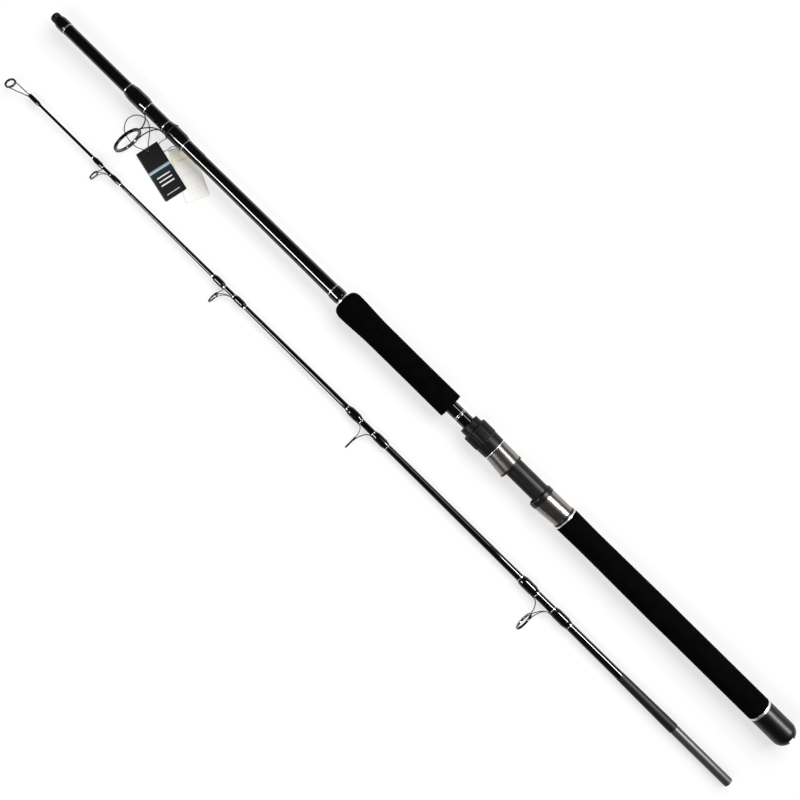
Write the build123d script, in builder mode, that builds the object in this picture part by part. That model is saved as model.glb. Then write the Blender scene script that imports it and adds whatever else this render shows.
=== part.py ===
from build123d import *
import os
from math import asin, cos, degrees, pi, radians, sin, tan

os.makedirs("parts", exist_ok=True)

# A heavy two-piece spinning rod, taken apart: both sections lie side by side on the floor.
# +X runs from butt to tip, +Y from the butt section to the tip section, +Z is up. Millimetres.
# A station is a distance along a section from its own rear end.

# Butt section: lengths in order from the butt end
cap_long = 51.0
butt_ring_long = 3.0
rear_grip_long = 329.0
seat_ring_long = 2.0
seat_collar_long = 3.0
fixed_hood_long = 32.0
fixed_flange_long = 8.0
bay_long = 47.0
moving_flange_long = 3.0
moving_hood_long = 26.0
nut_gap_long = 1.0
nut_ring_long = 1.2
nut_cone_long = 13.8
nut_flute_long = 21.0
nut_collar_long = 9.0
neck_spare = 8.0
foregrip_long = 184.0
check_long = 3.0
grip_wrap_long = 14.0
bare_blank_long = 227.0
underwrap_lead = 26.0
underwrap_tail = 1.0
bare_sleeve_long = 105.0
end_wrap_long = 13.0
plug_head_long = 10.0

# Butt section: radii and thicknesses
cap_r = 16.6
butt_ring_r = 16.6
rear_grip_r = 16.6
rear_swell_r = 16.75
rear_waist_r = 16.1
seat_ring_r = 16.2
seat_collar_r = 15.9
foregrip_r = 16.6
foregrip_waist_r = 16.45
bulb_r = 18.5
bulb_front_r = 10.4
check_r = 9.9
check_front_r = 9.65
grip_wrap_thick = 0.8
blank_r = 8.8
bare_end_r = 7.85
blank_end_r = 6.75
blank_wall = 1.3
sleeve_wall = 0.85
wrap_thick = 0.65

# Butt cap: crossed gimbal slots, and the rubber left between them and the blank
cap_round = 13.0
gimbal_wide = 7.4
gimbal_deep = 6.6
cap_floor = 7.4

# Rear grip: straight stretch, how far in front of it the swell is, and the waist from the front end
rear_straight_long = 140.0
rear_swell_on = 26.0
rear_waist_back = 38.0

# Foregrip: place of the waist, length of the flare behind the bulb's crest and of the nose in front
foregrip_waist_on = 69.0
foregrip_flare_long = 50.0
foregrip_nose_long = 11.0
foregrip_rear_round = 2.0

# Reel seat
barrel_r = 13.4
bed_height = 11.7
seat_wall = 1.15
thread_high = 0.85
thread_pitch = 3.0
thread_root_wide = 1.8
thread_crest_wide = 0.8
seat_tail = 1.0
keyway_wide = 4.4
keyway_skin = 0.75
arbor_long = 24.0
arbor_thick = 0.25
hood_back_travel = 12.0
hood_front_travel = 22.0

# Hoods: a pressed skin and a lining that rise from the barrel, and a pocket for the end of a reel foot
hood_skin = 0.9
hood_lining = 0.5
hood_shift = 1.5
fixed_hood_back_rise = 1.8
fixed_hood_mouth_rise = 2.9
moving_hood_back_rise = 2.0
moving_hood_mouth_rise = 3.1
hood_lip_long = 1.6
pocket_wide = 18.0
pocket_deep = 15.0
flange_overhang = 0.4
fixed_flange_round = 1.8
moving_flange_round = 1.1
flange_edge_round = 0.8
slot_long = 4.2
slot_wide = 1.8
fixed_slot_from_mouth = 8.0
moving_slot_from_mouth = 10.5
lining_long = 21.0

# Nut
nut_claw_gap = 0.4
nut_claw_step = 0.9
nut_claw_long = 2.0
nut_ring_r = 15.9
nut_cone_rear_r = 15.7
nut_cone_front_r = 16.0
nut_flute_r = 16.85
nut_collar_r = 13.4
nut_bevel = 1.3
flute_count = 24
flute_r = 1.15
flute_rise = 0.35

# Ferrule
male_r = 6.4
male_long = 95.0
sleeve_overlap = 40.0
socket_spare = 10.3
plug_stem_long = 30.0
plug_step = 0.1
plug_neck_r = 5.0
plug_neck_long = 1.8
plug_round = 3.0

# Tip section: lengths and radii
flare_long = 92.0
flare_step = 0.6
flare_thin = 0.1
tip_taper_r = 5.85
tip_long = 1204.0
tip_thin_long = 94.0
tip_thin_r = 1.9
tip_end_r = 1.65
tip_wall = 1.5
tip_end_bore_r = 0.5

# Guides: the ring's place as a share of the tip section, reach of its centre from the axis, outside
# radius, lean of its far edge towards the tip, how far the foot wraps run behind and in front of it,
# then the sizes of its pieces. The stripper stands on the butt section, at a place of its own.
stripper = dict(
    reach=45.6, ring_r=20.15, lean=5.0, behind=54.0, ahead=42.0, wrap_long=32.0,
    foot_wide=5.2, foot_thick=1.3, leg_wide=3.4, rim=1.9, ceramic=2.2, rim_long=3.2, wrap_cover=0.5,
)
guides = {
    "guide_1": dict(
        share=0.2656, reach=35.0, ring_r=12.95, lean=0.0, behind=44.3, ahead=38.7, wrap_long=27.0,
        foot_wide=4.0, foot_thick=1.1, leg_wide=2.8, rim=1.5, ceramic=1.7, rim_long=2.6, wrap_cover=0.45,
    ),
    "guide_2": dict(
        share=0.5191, reach=27.8, ring_r=9.25, lean=0.0, behind=35.7, ahead=31.8, wrap_long=22.5,
        foot_wide=3.4, foot_thick=1.0, leg_wide=2.3, rim=1.2, ceramic=1.4, rim_long=2.2, wrap_cover=0.6,
    ),
    "guide_3": dict(
        share=0.7226, reach=18.9, ring_r=8.3, lean=0.0, behind=35.5, ahead=18.3, wrap_long=18.0,
        foot_wide=2.8, foot_thick=0.9, leg_wide=2.0, rim=1.1, ceramic=1.3, rim_long=2.0, wrap_cover=0.35,
    ),
    "guide_4": dict(
        share=0.8968, reach=14.9, ring_r=6.7, lean=0.0, behind=29.9, ahead=16.0, wrap_long=15.5,
        foot_wide=2.4, foot_thick=0.8, leg_wide=1.7, rim=0.95, ceramic=1.15, rim_long=1.8, wrap_cover=0.3,
    ),
}
ceramic_share = 0.9
round_share = 0.4
foot_margin = 2.0
wrap_slope = 0.4
trim_long = 1.5
trim_rise = 0.4
neck_band_long = 1.0
end_wrap_round = 3.0
end_wrap_thin = 0.1

# Tip-top, set on the blank with its ring turned up from the line of the guides
tiptop = dict(reach=9.0, ring_r=7.4, lean=15.0, rim=1.2, ceramic=1.3, rim_long=2.0)
tiptop_turn = 40.0
tiptop_ring_on = 26.0
tube_overlap = 13.0
tube_wall = 0.4
tube_end_thick = 2.5
brace_in = 1.2
brace_wide = 1.5
brace_thick = 1.1
tiptop_wrap_lead = 2.5
tiptop_wrap_long = 17.0
tiptop_wrap_thick = 0.4

# How the sections lie, and the gaps between pieces that move on each other
section_gap = 90.5
tip_section_at = 11.6
running_gap = 0.05
slide_gap = 0.15
face_gap = 0.3

# Card tags on the floor, hung on the stripper guide: place of each card's hole and its turn, with x
# counted from the stripper ring and y from the butt section's axis
card_long = 69.5
card_wide = 31.0
card_thick = 0.4
card_round = 1.2
card_hole_r = 1.5
card_hole_in = 4.0
cream_card = dict(x=-47.1, y=8.1, z=0.1, turn=-25.6)
black_card = dict(x=-20.1, y=37.0, z=1.0, turn=-13.2)
cord_d = 1.1
string_d = 0.8
cord_knot_r = 2.2
cord_knot_high = 2.4
string_knot_r = 1.6
string_knot_high = 1.6
loop_behind = 30.8
loop_turn = -60.7
bend_share = 0.45
quarter_turn = 90.0

# Stations of the butt section
butt_ring_at = cap_long
rear_grip_at = butt_ring_at + butt_ring_long
seat_ring_at = rear_grip_at + rear_grip_long
seat_collar_at = seat_ring_at + seat_ring_long
seat_at = seat_collar_at + seat_collar_long
fixed_mouth_at = seat_at + fixed_hood_long
fixed_face_at = fixed_mouth_at + fixed_flange_long
moving_face_at = fixed_face_at + bay_long
moving_mouth_at = moving_face_at + moving_flange_long
hood_end_at = moving_mouth_at + moving_hood_long
nut_ring_at = hood_end_at + nut_gap_long
nut_cone_at = nut_ring_at + nut_ring_long
nut_flute_at = nut_cone_at + nut_cone_long
nut_collar_at = nut_flute_at + nut_flute_long
neck_at = nut_collar_at + nut_collar_long
neck_long = hood_front_travel + neck_spare
foregrip_at = neck_at + neck_long
check_at = foregrip_at + foregrip_long
grip_wrap_at = check_at + check_long
bare_blank_at = grip_wrap_at + grip_wrap_long
underwrap_at = bare_blank_at + bare_blank_long
stripper["ring_at"] = underwrap_at + underwrap_lead + stripper["behind"]
bare_sleeve_at = stripper["ring_at"] + stripper["ahead"] + underwrap_tail
end_wrap_at = bare_sleeve_at + bare_sleeve_long
sleeve_end_at = end_wrap_at + end_wrap_long
rod_long = sleeve_end_at + plug_head_long
blank_at = gimbal_deep + cap_floor
seat_end_at = neck_at - seat_tail
claw_at = hood_end_at - hood_lip_long - face_gap - nut_claw_long
barrel_end_at = claw_at - hood_back_travel - face_gap
bed_at = fixed_mouth_at - pocket_deep + face_gap
blank_end_at = sleeve_end_at - male_long - socket_spare
sleeve_at = blank_end_at - sleeve_overlap

# Stations of the tip section
flare_at = male_long
taper_at = flare_at + flare_long
tip_thin_at = tip_long - tip_thin_long
for guide in guides.values():
    guide["ring_at"] = guide["share"] * tip_long
tiptop["ring_at"] = tip_long + tiptop_ring_on
tube_at = tip_long - tube_overlap
tube_end_at = tip_long + tube_end_thick
brace_at = tube_end_at - brace_in
tiptop_wrap_at = tube_at - tiptop_wrap_lead

# Radii that follow from the pieces they fit
seat_bore_r = blank_r + arbor_thick
thread_core_r = seat_bore_r + seat_wall
thread_r = thread_core_r + thread_high
keyway_floor = seat_bore_r + keyway_skin
fixed_hood_back_r = barrel_r + fixed_hood_back_rise
fixed_hood_mouth_r = barrel_r + fixed_hood_mouth_rise
moving_hood_back_r = barrel_r + moving_hood_back_rise
moving_hood_mouth_r = barrel_r + moving_hood_mouth_rise
nut_bore_r = thread_r + slide_gap
nut_claw_r = moving_hood_back_r - hood_skin - nut_claw_gap
nut_nose_r = nut_claw_r - nut_claw_step
grip_wrap_r = blank_r + grip_wrap_thick
sleeve_r = blank_end_r + sleeve_wall
underwrap_r = sleeve_r + wrap_thick
socket_bore_r = male_r + running_gap
plug_head_r = male_r + plug_step
flare_rear_r = male_r + flare_step
flare_front_r = tip_taper_r + flare_thin
tube_r = tip_thin_r + tube_wall


def blank_radius(station):
    """Outside radius of the butt blank where it tapers under the stripper guide's wraps."""
    part_way = (station - underwrap_at) / (blank_end_at - underwrap_at)
    return bare_end_r + (blank_end_r - bare_end_r) * part_way


def tip_radius(station):
    """Outside radius of the tip blank on its long taper."""
    part_way = (station - taper_at) / (tip_thin_at - taper_at)
    return tip_taper_r + (tip_thin_r - tip_taper_r) * part_way


# Each section rests on its fattest turned piece and rolls until its largest ring meets the floor
butt_high = max(bulb_r, rear_swell_r, nut_flute_r, cap_r)
tip_high = flare_rear_r
butt_roll = degrees(asin((stripper["ring_r"] - butt_high) / stripper["reach"]))
largest = guides["guide_1"]
tip_roll = degrees(asin((largest["ring_r"] - tip_high) / largest["reach"]))
side_high = section_gap + largest["reach"] * cos(radians(tip_roll)) + largest["ring_r"]
butt_y = (butt_high - side_high) / 2
butt = Plane((-rod_long / 2, butt_y, butt_high)).rotated((butt_roll, 0, 0))
tip = Plane((tip_section_at - rod_long / 2, butt_y + section_gap, tip_high)).rotated((tip_roll, 0, 0))


def axis_of(section):
    """The line that a section is turned round."""
    return Axis(section.origin, section.x_dir)


def across(section, station):
    """Plane square to a section at a station: local x to the guide side, local y across it."""
    origin = section.from_local_coords((station, 0, 0))
    return Plane(origin, x_dir=section.y_dir, z_dir=section.x_dir)


def turned(section, *outline):
    """Solid turned round a section from a closed outline of (station, radius) points."""
    with BuildPart() as piece:
        with BuildSketch(section):
            with BuildLine():
                Polyline(*outline, close=True)
            make_face()
        revolve(axis=axis_of(section))
    return piece.part


def sleeve(section, start, end, inside, outside):
    """Plain ring or tube from one station to another."""
    return turned(section, (start, inside), (start, outside), (end, outside), (end, inside))


def keep(part, name):
    """Label a finished piece and write its file."""
    part.label = name
    export_step(part, f"parts/{name}.step")


# Butt cap: a moulded rubber cup over the blank's end, with crossed slots for a rod holder's pin
with BuildPart() as butt_cap:
    add(
        turned(
            butt,
            (0, 0),
            (0, cap_r),
            (cap_long, cap_r),
            (cap_long, blank_r),
            (blank_at, blank_r),
            (blank_at, 0),
        )
    )
    fillet(butt_cap.edges().filter_by(GeomType.CIRCLE).sort_by(Axis.X)[0], radius=cap_round)
    with BuildSketch(across(butt, 0)):
        Rectangle(4 * cap_r, gimbal_wide)
        Rectangle(gimbal_wide, 4 * cap_r)
    extrude(amount=gimbal_deep, mode=Mode.SUBTRACT)
keep(butt_cap.part, "butt_cap")

keep(sleeve(butt, butt_ring_at, rear_grip_at, blank_r, butt_ring_r), "butt_ring")

# Rear grip: turned foam, straight at the rear, with a slight swell and waist towards the seat
with BuildPart() as rear_grip:
    with BuildSketch(butt):
        with BuildLine():
            straight = Line((rear_grip_at, rear_grip_r), (rear_grip_at + rear_straight_long, rear_grip_r))
            skin = Spline(
                straight @ 1,
                (rear_grip_at + rear_straight_long + rear_swell_on, rear_swell_r),
                (seat_ring_at - rear_waist_back, rear_waist_r),
                (seat_ring_at, rear_grip_r),
                tangents=((1, 0), (1, 0)),
            )
            Polyline(skin @ 1, (seat_ring_at, blank_r), (rear_grip_at, blank_r), straight @ 0)
        make_face()
    revolve(axis=axis_of(butt))
keep(rear_grip.part, "rear_grip")

keep(sleeve(butt, seat_ring_at, seat_collar_at, blank_r, seat_ring_r), "seat_ring")
keep(sleeve(butt, seat_collar_at, seat_at, blank_r, seat_collar_r), "seat_collar")

# Blank: one tapered tube from inside the butt cap to inside the ferrule sleeve
butt_blank = turned(
    butt,
    (blank_at, blank_r),
    (bare_blank_at, blank_r),
    (underwrap_at, bare_end_r),
    (blank_end_at, blank_end_r),
    (blank_end_at, blank_end_r - blank_wall),
    (underwrap_at, bare_end_r - blank_wall),
    (bare_blank_at, blank_r - blank_wall),
    (blank_at, blank_r - blank_wall),
)
keep(butt_blank, "butt_blank")

# Ferrule sleeve: bonded over the end of the blank; its front bore takes the tip section
ferrule_sleeve = turned(
    butt,
    (sleeve_at, blank_radius(sleeve_at)),
    (sleeve_at, sleeve_r),
    (sleeve_end_at, sleeve_r),
    (sleeve_end_at, socket_bore_r),
    (blank_end_at, socket_bore_r),
    (blank_end_at, blank_end_r),
)
keep(ferrule_sleeve, "ferrule_sleeve")

# Reel seat body: moulded barrel with a flat bed for the reel foot, a keyway and a screw thread
with BuildPart() as seat_body:
    add(
        turned(
            butt,
            (seat_at, seat_bore_r),
            (seat_at, barrel_r),
            (barrel_end_at, barrel_r),
            (barrel_end_at, thread_core_r),
            (seat_end_at, thread_core_r),
            (seat_end_at, seat_bore_r),
        )
    )
    with BuildSketch(across(butt, bed_at)):
        with Locations((bed_height + barrel_r / 2, 0)):
            Rectangle(barrel_r, 2 * barrel_r)
    extrude(amount=barrel_end_at - bed_at, mode=Mode.SUBTRACT)
    with BuildLine() as thread_line:
        thread_run = seat_end_at - barrel_end_at - 2 * thread_root_wide
        thread_start = butt.from_local_coords((barrel_end_at + thread_root_wide, 0, 0))
        helix = Helix(thread_pitch, thread_run, thread_core_r, center=thread_start, direction=butt.x_dir)
    outward = (helix @ 0 - thread_start).normalized()
    with BuildSketch(Plane(helix @ 0, x_dir=outward, z_dir=helix % 0)):
        ridge_low = -running_gap
        ridge_high = thread_r - thread_core_r
        with BuildLine():
            Polyline(
                (ridge_low, -thread_root_wide / 2),
                (ridge_high, -thread_crest_wide / 2),
                (ridge_high, thread_crest_wide / 2),
                (ridge_low, thread_root_wide / 2),
                close=True,
            )
        make_face()
    sweep(path=thread_line.line, is_frenet=True)
    keyway_at = moving_mouth_at - hood_back_travel - face_gap
    with BuildSketch(across(butt, keyway_at)):
        with Locations((-(keyway_floor + barrel_r / 2), 0)):
            Rectangle(barrel_r, keyway_wide)
    extrude(amount=seat_end_at - keyway_at, mode=Mode.SUBTRACT)
keep(seat_body.part, "seat_body")

# Arbors: three tape bushes that centre the seat on the blank
with BuildPart() as seat_arbors:
    arbor_step = (seat_end_at - seat_at - arbor_long) / 2
    for place in range(3):
        start = seat_at + place * arbor_step
        add(sleeve(butt, start, start + arbor_long, blank_r, seat_bore_r))
keep(seat_arbors.part, "seat_arbors")


def hood_form(mouth, back, mouth_r, back_r, skin=0.0):
    """Hood's own bulk: round at the back, larger and pushed to the guide side at the mouth."""
    with BuildPart() as form:
        with BuildSketch(across(butt, mouth)):
            with Locations((hood_shift, 0)):
                Circle(mouth_r - skin)
        with BuildSketch(across(butt, back)):
            Circle(back_r - skin)
        loft()
    return form.part


def hood_shell(mouth, back, mouth_r, back_r, lip_r, slot_at):
    """Pressed shell, open at the mouth, with a rolled lip at the back and a drain slot on the crown."""
    inward = 1 if back > mouth else -1
    with BuildPart() as shell:
        add(hood_form(mouth, back, mouth_r, back_r))
        add(hood_form(mouth, back - inward * hood_lip_long, mouth_r, back_r, hood_skin), mode=Mode.SUBTRACT)
        with BuildSketch(across(butt, back)):
            Circle(lip_r)
        extrude(amount=hood_lip_long, both=True, mode=Mode.SUBTRACT)
        crown = Plane(butt.from_local_coords((slot_at, barrel_r, 0)), x_dir=butt.x_dir, z_dir=butt.y_dir)
        with BuildSketch(crown):
            SlotOverall(slot_long, slot_wide)
        extrude(amount=barrel_r, mode=Mode.SUBTRACT)
    return shell.part


def hood_cushion(mouth, back, mouth_r, back_r, flange_long, flange_round, lining_back, bore_r):
    """Lining inside a hood, with a flange at its mouth and the pocket for a reel foot's end."""
    inward = 1 if back > mouth else -1
    face = mouth - inward * flange_long
    with BuildPart() as cushion:
        add(hood_form(mouth, back - inward * hood_lip_long, mouth_r, back_r, hood_skin))
        split(bisect_by=across(butt, lining_back), keep=Keep.BOTTOM if inward > 0 else Keep.TOP)
        with BuildSketch(across(butt, mouth)):
            with Locations((hood_shift, 0)):
                Circle(mouth_r + flange_overhang)
        extrude(amount=-inward * flange_long)
        rims = cushion.edges().filter_by(GeomType.CIRCLE).sort_by(SortBy.RADIUS)[-2:].sort_by(Axis.X)
        fillet(rims[0 if inward > 0 else 1], radius=flange_round)
        mouth_rim = cushion.edges().filter_by(GeomType.CIRCLE).sort_by(SortBy.RADIUS)[-1]
        fillet(mouth_rim, radius=flange_edge_round)
        with BuildSketch(across(butt, face)):
            Circle(bore_r)
        extrude(amount=inward * abs(lining_back - face), mode=Mode.SUBTRACT)
        with BuildSketch(across(butt, face)):
            with Locations((hood_shift, 0)):
                Circle(mouth_r - hood_skin - hood_lining)
            with Locations((mouth_r, 0)):
                Rectangle(2 * mouth_r, pocket_wide, mode=Mode.INTERSECT)
        extrude(amount=inward * (flange_long + pocket_deep), mode=Mode.SUBTRACT)
    return cushion.part


# Fixed hood and its cushion, at the rear of the seat
fixed_hood = hood_shell(
    fixed_mouth_at,
    seat_at,
    fixed_hood_mouth_r,
    fixed_hood_back_r,
    barrel_r,
    fixed_mouth_at - fixed_slot_from_mouth,
)
keep(fixed_hood, "fixed_hood")
fixed_hood_cushion = hood_cushion(
    fixed_mouth_at,
    seat_at,
    fixed_hood_mouth_r,
    fixed_hood_back_r,
    fixed_flange_long,
    fixed_flange_round,
    fixed_mouth_at - lining_long,
    barrel_r,
)
keep(fixed_hood_cushion, "fixed_hood_cushion")

# Moving hood and its cushion, whose key slides in the seat's keyway
moving_hood = hood_shell(
    moving_mouth_at,
    hood_end_at,
    moving_hood_mouth_r,
    moving_hood_back_r,
    nut_nose_r + face_gap,
    moving_mouth_at + moving_slot_from_mouth,
)
keep(moving_hood, "moving_hood")
with BuildPart() as moving_hood_cushion:
    lining_back = claw_at - face_gap
    add(
        hood_cushion(
            moving_mouth_at,
            hood_end_at,
            moving_hood_mouth_r,
            moving_hood_back_r,
            moving_flange_long,
            moving_flange_round,
            lining_back,
            barrel_r + slide_gap,
        )
    )
    with BuildSketch(across(butt, moving_mouth_at)):
        key_high = barrel_r + hood_lining / 2 - keyway_floor - slide_gap
        with Locations((-(keyway_floor + slide_gap + key_high / 2), 0)):
            Rectangle(key_high, keyway_wide - 2 * slide_gap)
    extrude(amount=lining_back - moving_mouth_at)
keep(moving_hood_cushion.part, "moving_hood_cushion")

# Nut: a claw that carries the hood, a smooth cone, a fluted grip and a collar
with BuildPart() as seat_nut:
    add(
        turned(
            butt,
            (claw_at, nut_bore_r),
            (claw_at, nut_claw_r),
            (claw_at + nut_claw_long, nut_claw_r),
            (claw_at + nut_claw_long, nut_nose_r),
            (nut_cone_at, nut_nose_r),
            (nut_cone_at, nut_cone_rear_r),
            (nut_flute_at, nut_cone_front_r),
            (nut_flute_at + nut_bevel, nut_flute_r),
            (nut_collar_at - nut_bevel, nut_flute_r),
            (nut_collar_at, nut_flute_r - nut_bevel),
            (nut_collar_at, nut_collar_r),
            (neck_at, nut_collar_r),
            (neck_at, nut_bore_r),
        )
    )
    with BuildSketch(across(butt, nut_flute_at)):
        with PolarLocations(nut_flute_r + flute_rise, flute_count):
            Circle(flute_r)
    extrude(amount=nut_flute_long, mode=Mode.SUBTRACT)
keep(seat_nut.part, "seat_nut")

keep(sleeve(butt, nut_ring_at, nut_cone_at, nut_nose_r, nut_ring_r), "nut_ring")

# Neck ring: a pair of silver bands half way along the bare neck
neck_middle = neck_at + neck_long / 2
with BuildPart() as neck_ring:
    for start in (neck_middle - trim_long, neck_middle + trim_long - neck_band_long):
        add(sleeve(butt, start, start + neck_band_long, blank_r, blank_r + trim_rise))
keep(neck_ring.part, "neck_ring")

# Foregrip: turned foam with a waist for the hand and a bulb at the front
with BuildPart() as foregrip:
    with BuildSketch(butt):
        with BuildLine():
            skin = Spline(
                (foregrip_at, foregrip_r),
                (foregrip_at + foregrip_waist_on, foregrip_waist_r),
                (check_at - foregrip_nose_long - foregrip_flare_long, foregrip_r),
                (check_at - foregrip_nose_long, bulb_r),
                tangents=((1, 0), (1, 0)),
            )
            nose = EllipticalCenterArc(
                (check_at - foregrip_nose_long, bulb_front_r),
                foregrip_nose_long,
                bulb_r - bulb_front_r,
                start_angle=0,
                arc_size=quarter_turn,
            )
            Polyline(nose @ 0, (check_at, blank_r), (foregrip_at, blank_r), skin @ 0)
        make_face()
    revolve(axis=axis_of(butt))
    rear_rim = foregrip.edges().filter_by(GeomType.CIRCLE).group_by(Axis.X)[0].sort_by(SortBy.RADIUS)[-1]
    fillet(rear_rim, radius=foregrip_rear_round)
keep(foregrip.part, "foregrip")

# Winding check and the wrap in front of the foregrip
winding_check = turned(
    butt,
    (check_at, blank_r),
    (check_at, check_r),
    (check_at + check_long / 2, check_r),
    (grip_wrap_at, check_front_r),
    (grip_wrap_at, blank_r),
)
keep(winding_check, "winding_check")
grip_wrap = turned(
    butt,
    (grip_wrap_at, blank_r),
    (grip_wrap_at, grip_wrap_r),
    (bare_blank_at - trim_long, grip_wrap_r),
    (bare_blank_at, blank_r + trim_rise),
    (bare_blank_at, blank_r),
)
keep(grip_wrap, "grip_wrap")

# Stripper guide's underwrap, over the blank and the rear of the sleeve; end wrap of the ferrule
underwrap = turned(
    butt,
    (underwrap_at, bare_end_r),
    (underwrap_at, underwrap_r),
    (bare_sleeve_at, underwrap_r),
    (bare_sleeve_at, sleeve_r),
    (sleeve_at, sleeve_r),
    (sleeve_at, blank_radius(sleeve_at)),
)
keep(underwrap, "stripper_underwrap")
end_wrap = turned(
    butt,
    (end_wrap_at, sleeve_r),
    (end_wrap_at, sleeve_r + trim_rise),
    (end_wrap_at + trim_long, sleeve_r + wrap_thick),
    (sleeve_end_at - end_wrap_round, sleeve_r + wrap_thick),
    (sleeve_end_at, sleeve_r + end_wrap_thin),
    (sleeve_end_at, sleeve_r),
)
keep(end_wrap, "ferrule_wrap")

# Ferrule plug: a turned stopper that keeps dirt out of the socket, grooved for a fingernail
with BuildPart() as ferrule_plug:
    add(
        turned(
            butt,
            (sleeve_end_at - plug_stem_long, 0),
            (sleeve_end_at - plug_stem_long, socket_bore_r - running_gap),
            (sleeve_end_at, socket_bore_r - running_gap),
            (sleeve_end_at, plug_neck_r),
            (sleeve_end_at + plug_neck_long, plug_neck_r),
            (sleeve_end_at + plug_neck_long, plug_head_r),
            (rod_long, plug_head_r),
            (rod_long, 0),
        )
    )
    fillet(ferrule_plug.edges().filter_by(GeomType.CIRCLE).sort_by(Axis.X)[-1], radius=plug_round)
keep(ferrule_plug.part, "ferrule_plug")


def tip_outline(start):
    """Outside of the tip blank from its male end to the tip, as (station, radius) points."""
    return [
        (start, male_r),
        (flare_at, male_r),
        (taper_at, tip_taper_r),
        (tip_thin_at, tip_thin_r),
        (tip_long, tip_end_r),
    ]


# Tip blank: male ferrule, then one long taper; the bore narrows with it
tip_form = turned(tip, (0, 0), *tip_outline(0), (tip_long, 0))
tip_blank = turned(
    tip,
    *tip_outline(0),
    (tip_long, tip_end_bore_r),
    (flare_at, male_r - tip_wall),
    (0, male_r - tip_wall),
)
keep(tip_blank, "tip_blank")
flare_wrap = turned(
    tip, (flare_at, male_r), (flare_at, flare_rear_r), (taper_at, flare_front_r), (taper_at, tip_taper_r)
)
keep(flare_wrap, "flare_wrap")


def ring_plane(section, guide):
    """Plane of a guide's ring: its far edge leans towards the tip."""
    lean = radians(guide["lean"])
    centre = section.from_local_coords((guide["ring_at"], guide["reach"], 0))
    outward = section.x_dir * sin(lean) + section.y_dir * cos(lean)
    normal = section.x_dir * cos(lean) - section.y_dir * sin(lean)
    return Plane(centre, x_dir=outward, z_dir=normal)


def guide_ring(section, guide):
    """Ceramic ring: pressed into the frame, with a well rounded bore."""
    outside = guide["ring_r"] - guide["rim"]
    with BuildPart() as ring:
        with BuildSketch(ring_plane(section, guide)):
            Circle(outside)
            Circle(outside - guide["ceramic"], mode=Mode.SUBTRACT)
        extrude(amount=ceramic_share * guide["rim_long"] / 2, both=True)
        fillet(ring.edges(), radius=round_share * guide["ceramic"])
    return ring.part


def leg(section, start, end, wide, end_wide, thick):
    """Straight metal strip that narrows from one point to another, its broad side facing along the rod."""
    root = section.from_local_coords(start)
    top = section.from_local_coords(end)
    run = (top - root).normalized()
    broad = run.cross(section.x_dir).normalized()
    with BuildPart() as piece:
        with BuildSketch(Plane(root, x_dir=broad, z_dir=run)):
            Rectangle(wide, thick)
        with BuildSketch(Plane(top, x_dir=broad, z_dir=run)):
            Rectangle(end_wide, thick)
        loft()
    return piece.part


def foot(section, start, end, middle, wide, thick):
    """Flat foot that lies on the blank under its wrap."""
    with BuildPart() as piece:
        with BuildSketch(across(section, start)):
            with Locations((middle, 0)):
                Rectangle(thick, wide)
        extrude(amount=end - start)
    return piece.part


def ring_rim(section, guide):
    """Round metal rim that holds a guide's ceramic ring."""
    with BuildPart() as rim:
        with BuildSketch(ring_plane(section, guide)):
            Circle(guide["ring_r"])
            Circle(guide["ring_r"] - guide["rim"], mode=Mode.SUBTRACT)
        extrude(amount=guide["rim_long"] / 2, both=True)
        outer_edges = rim.edges().filter_by(GeomType.CIRCLE).sort_by(SortBy.RADIUS)[-2:]
        fillet(outer_edges, radius=round_share * guide["rim"])
    return rim.part


def rim_side(guide, side):
    """Point on the rear edge of a guide's rim, half way up one side, where a leg joins it."""
    rim_middle = guide["ring_r"] - guide["rim"] / 2
    return (guide["ring_at"] - guide["rim_long"] / 2, guide["reach"], side * rim_middle)


def wrap_runs(guide):
    """Start and end stations of a guide's rear and front foot wraps."""
    rear_start = guide["ring_at"] - guide["behind"]
    front_end = guide["ring_at"] + guide["ahead"]
    wrap_long = guide["wrap_long"]
    return (rear_start, rear_start + wrap_long), (front_end - wrap_long, front_end)


def guide_frame(section, guide, seat_r):
    """Frame of a double-foot guide: rim, one front leg and two splayed rear legs, on two feet."""
    lean = radians(guide["lean"])
    thick = guide["foot_thick"]
    foot_y = seat_r + running_gap + thick / 2
    rear, front = wrap_runs(guide)
    rear_base = rear[1] + foot_margin
    front_base = front[0] - foot_margin
    near = guide["ring_r"] - guide["rim"] / 2
    near_side = (guide["ring_at"] - near * sin(lean), guide["reach"] - near * cos(lean), 0)
    with BuildPart() as frame:
        add(ring_rim(section, guide))
        add(foot(section, front_base, front[1] - foot_margin, foot_y, guide["foot_wide"], thick))
        add(foot(section, rear[0] + foot_margin, rear_base, foot_y, guide["foot_wide"], thick))
        front_root = (front_base + thick / 2, foot_y, 0)
        add(leg(section, front_root, near_side, guide["foot_wide"], guide["leg_wide"], thick))
        for side in (-1, 1):
            root = (rear_base - thick / 2, foot_y, side * guide["leg_wide"] / 3)
            add(leg(section, root, rim_side(guide, side), guide["leg_wide"], guide["rim"], thick))
    return frame.part


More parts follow.
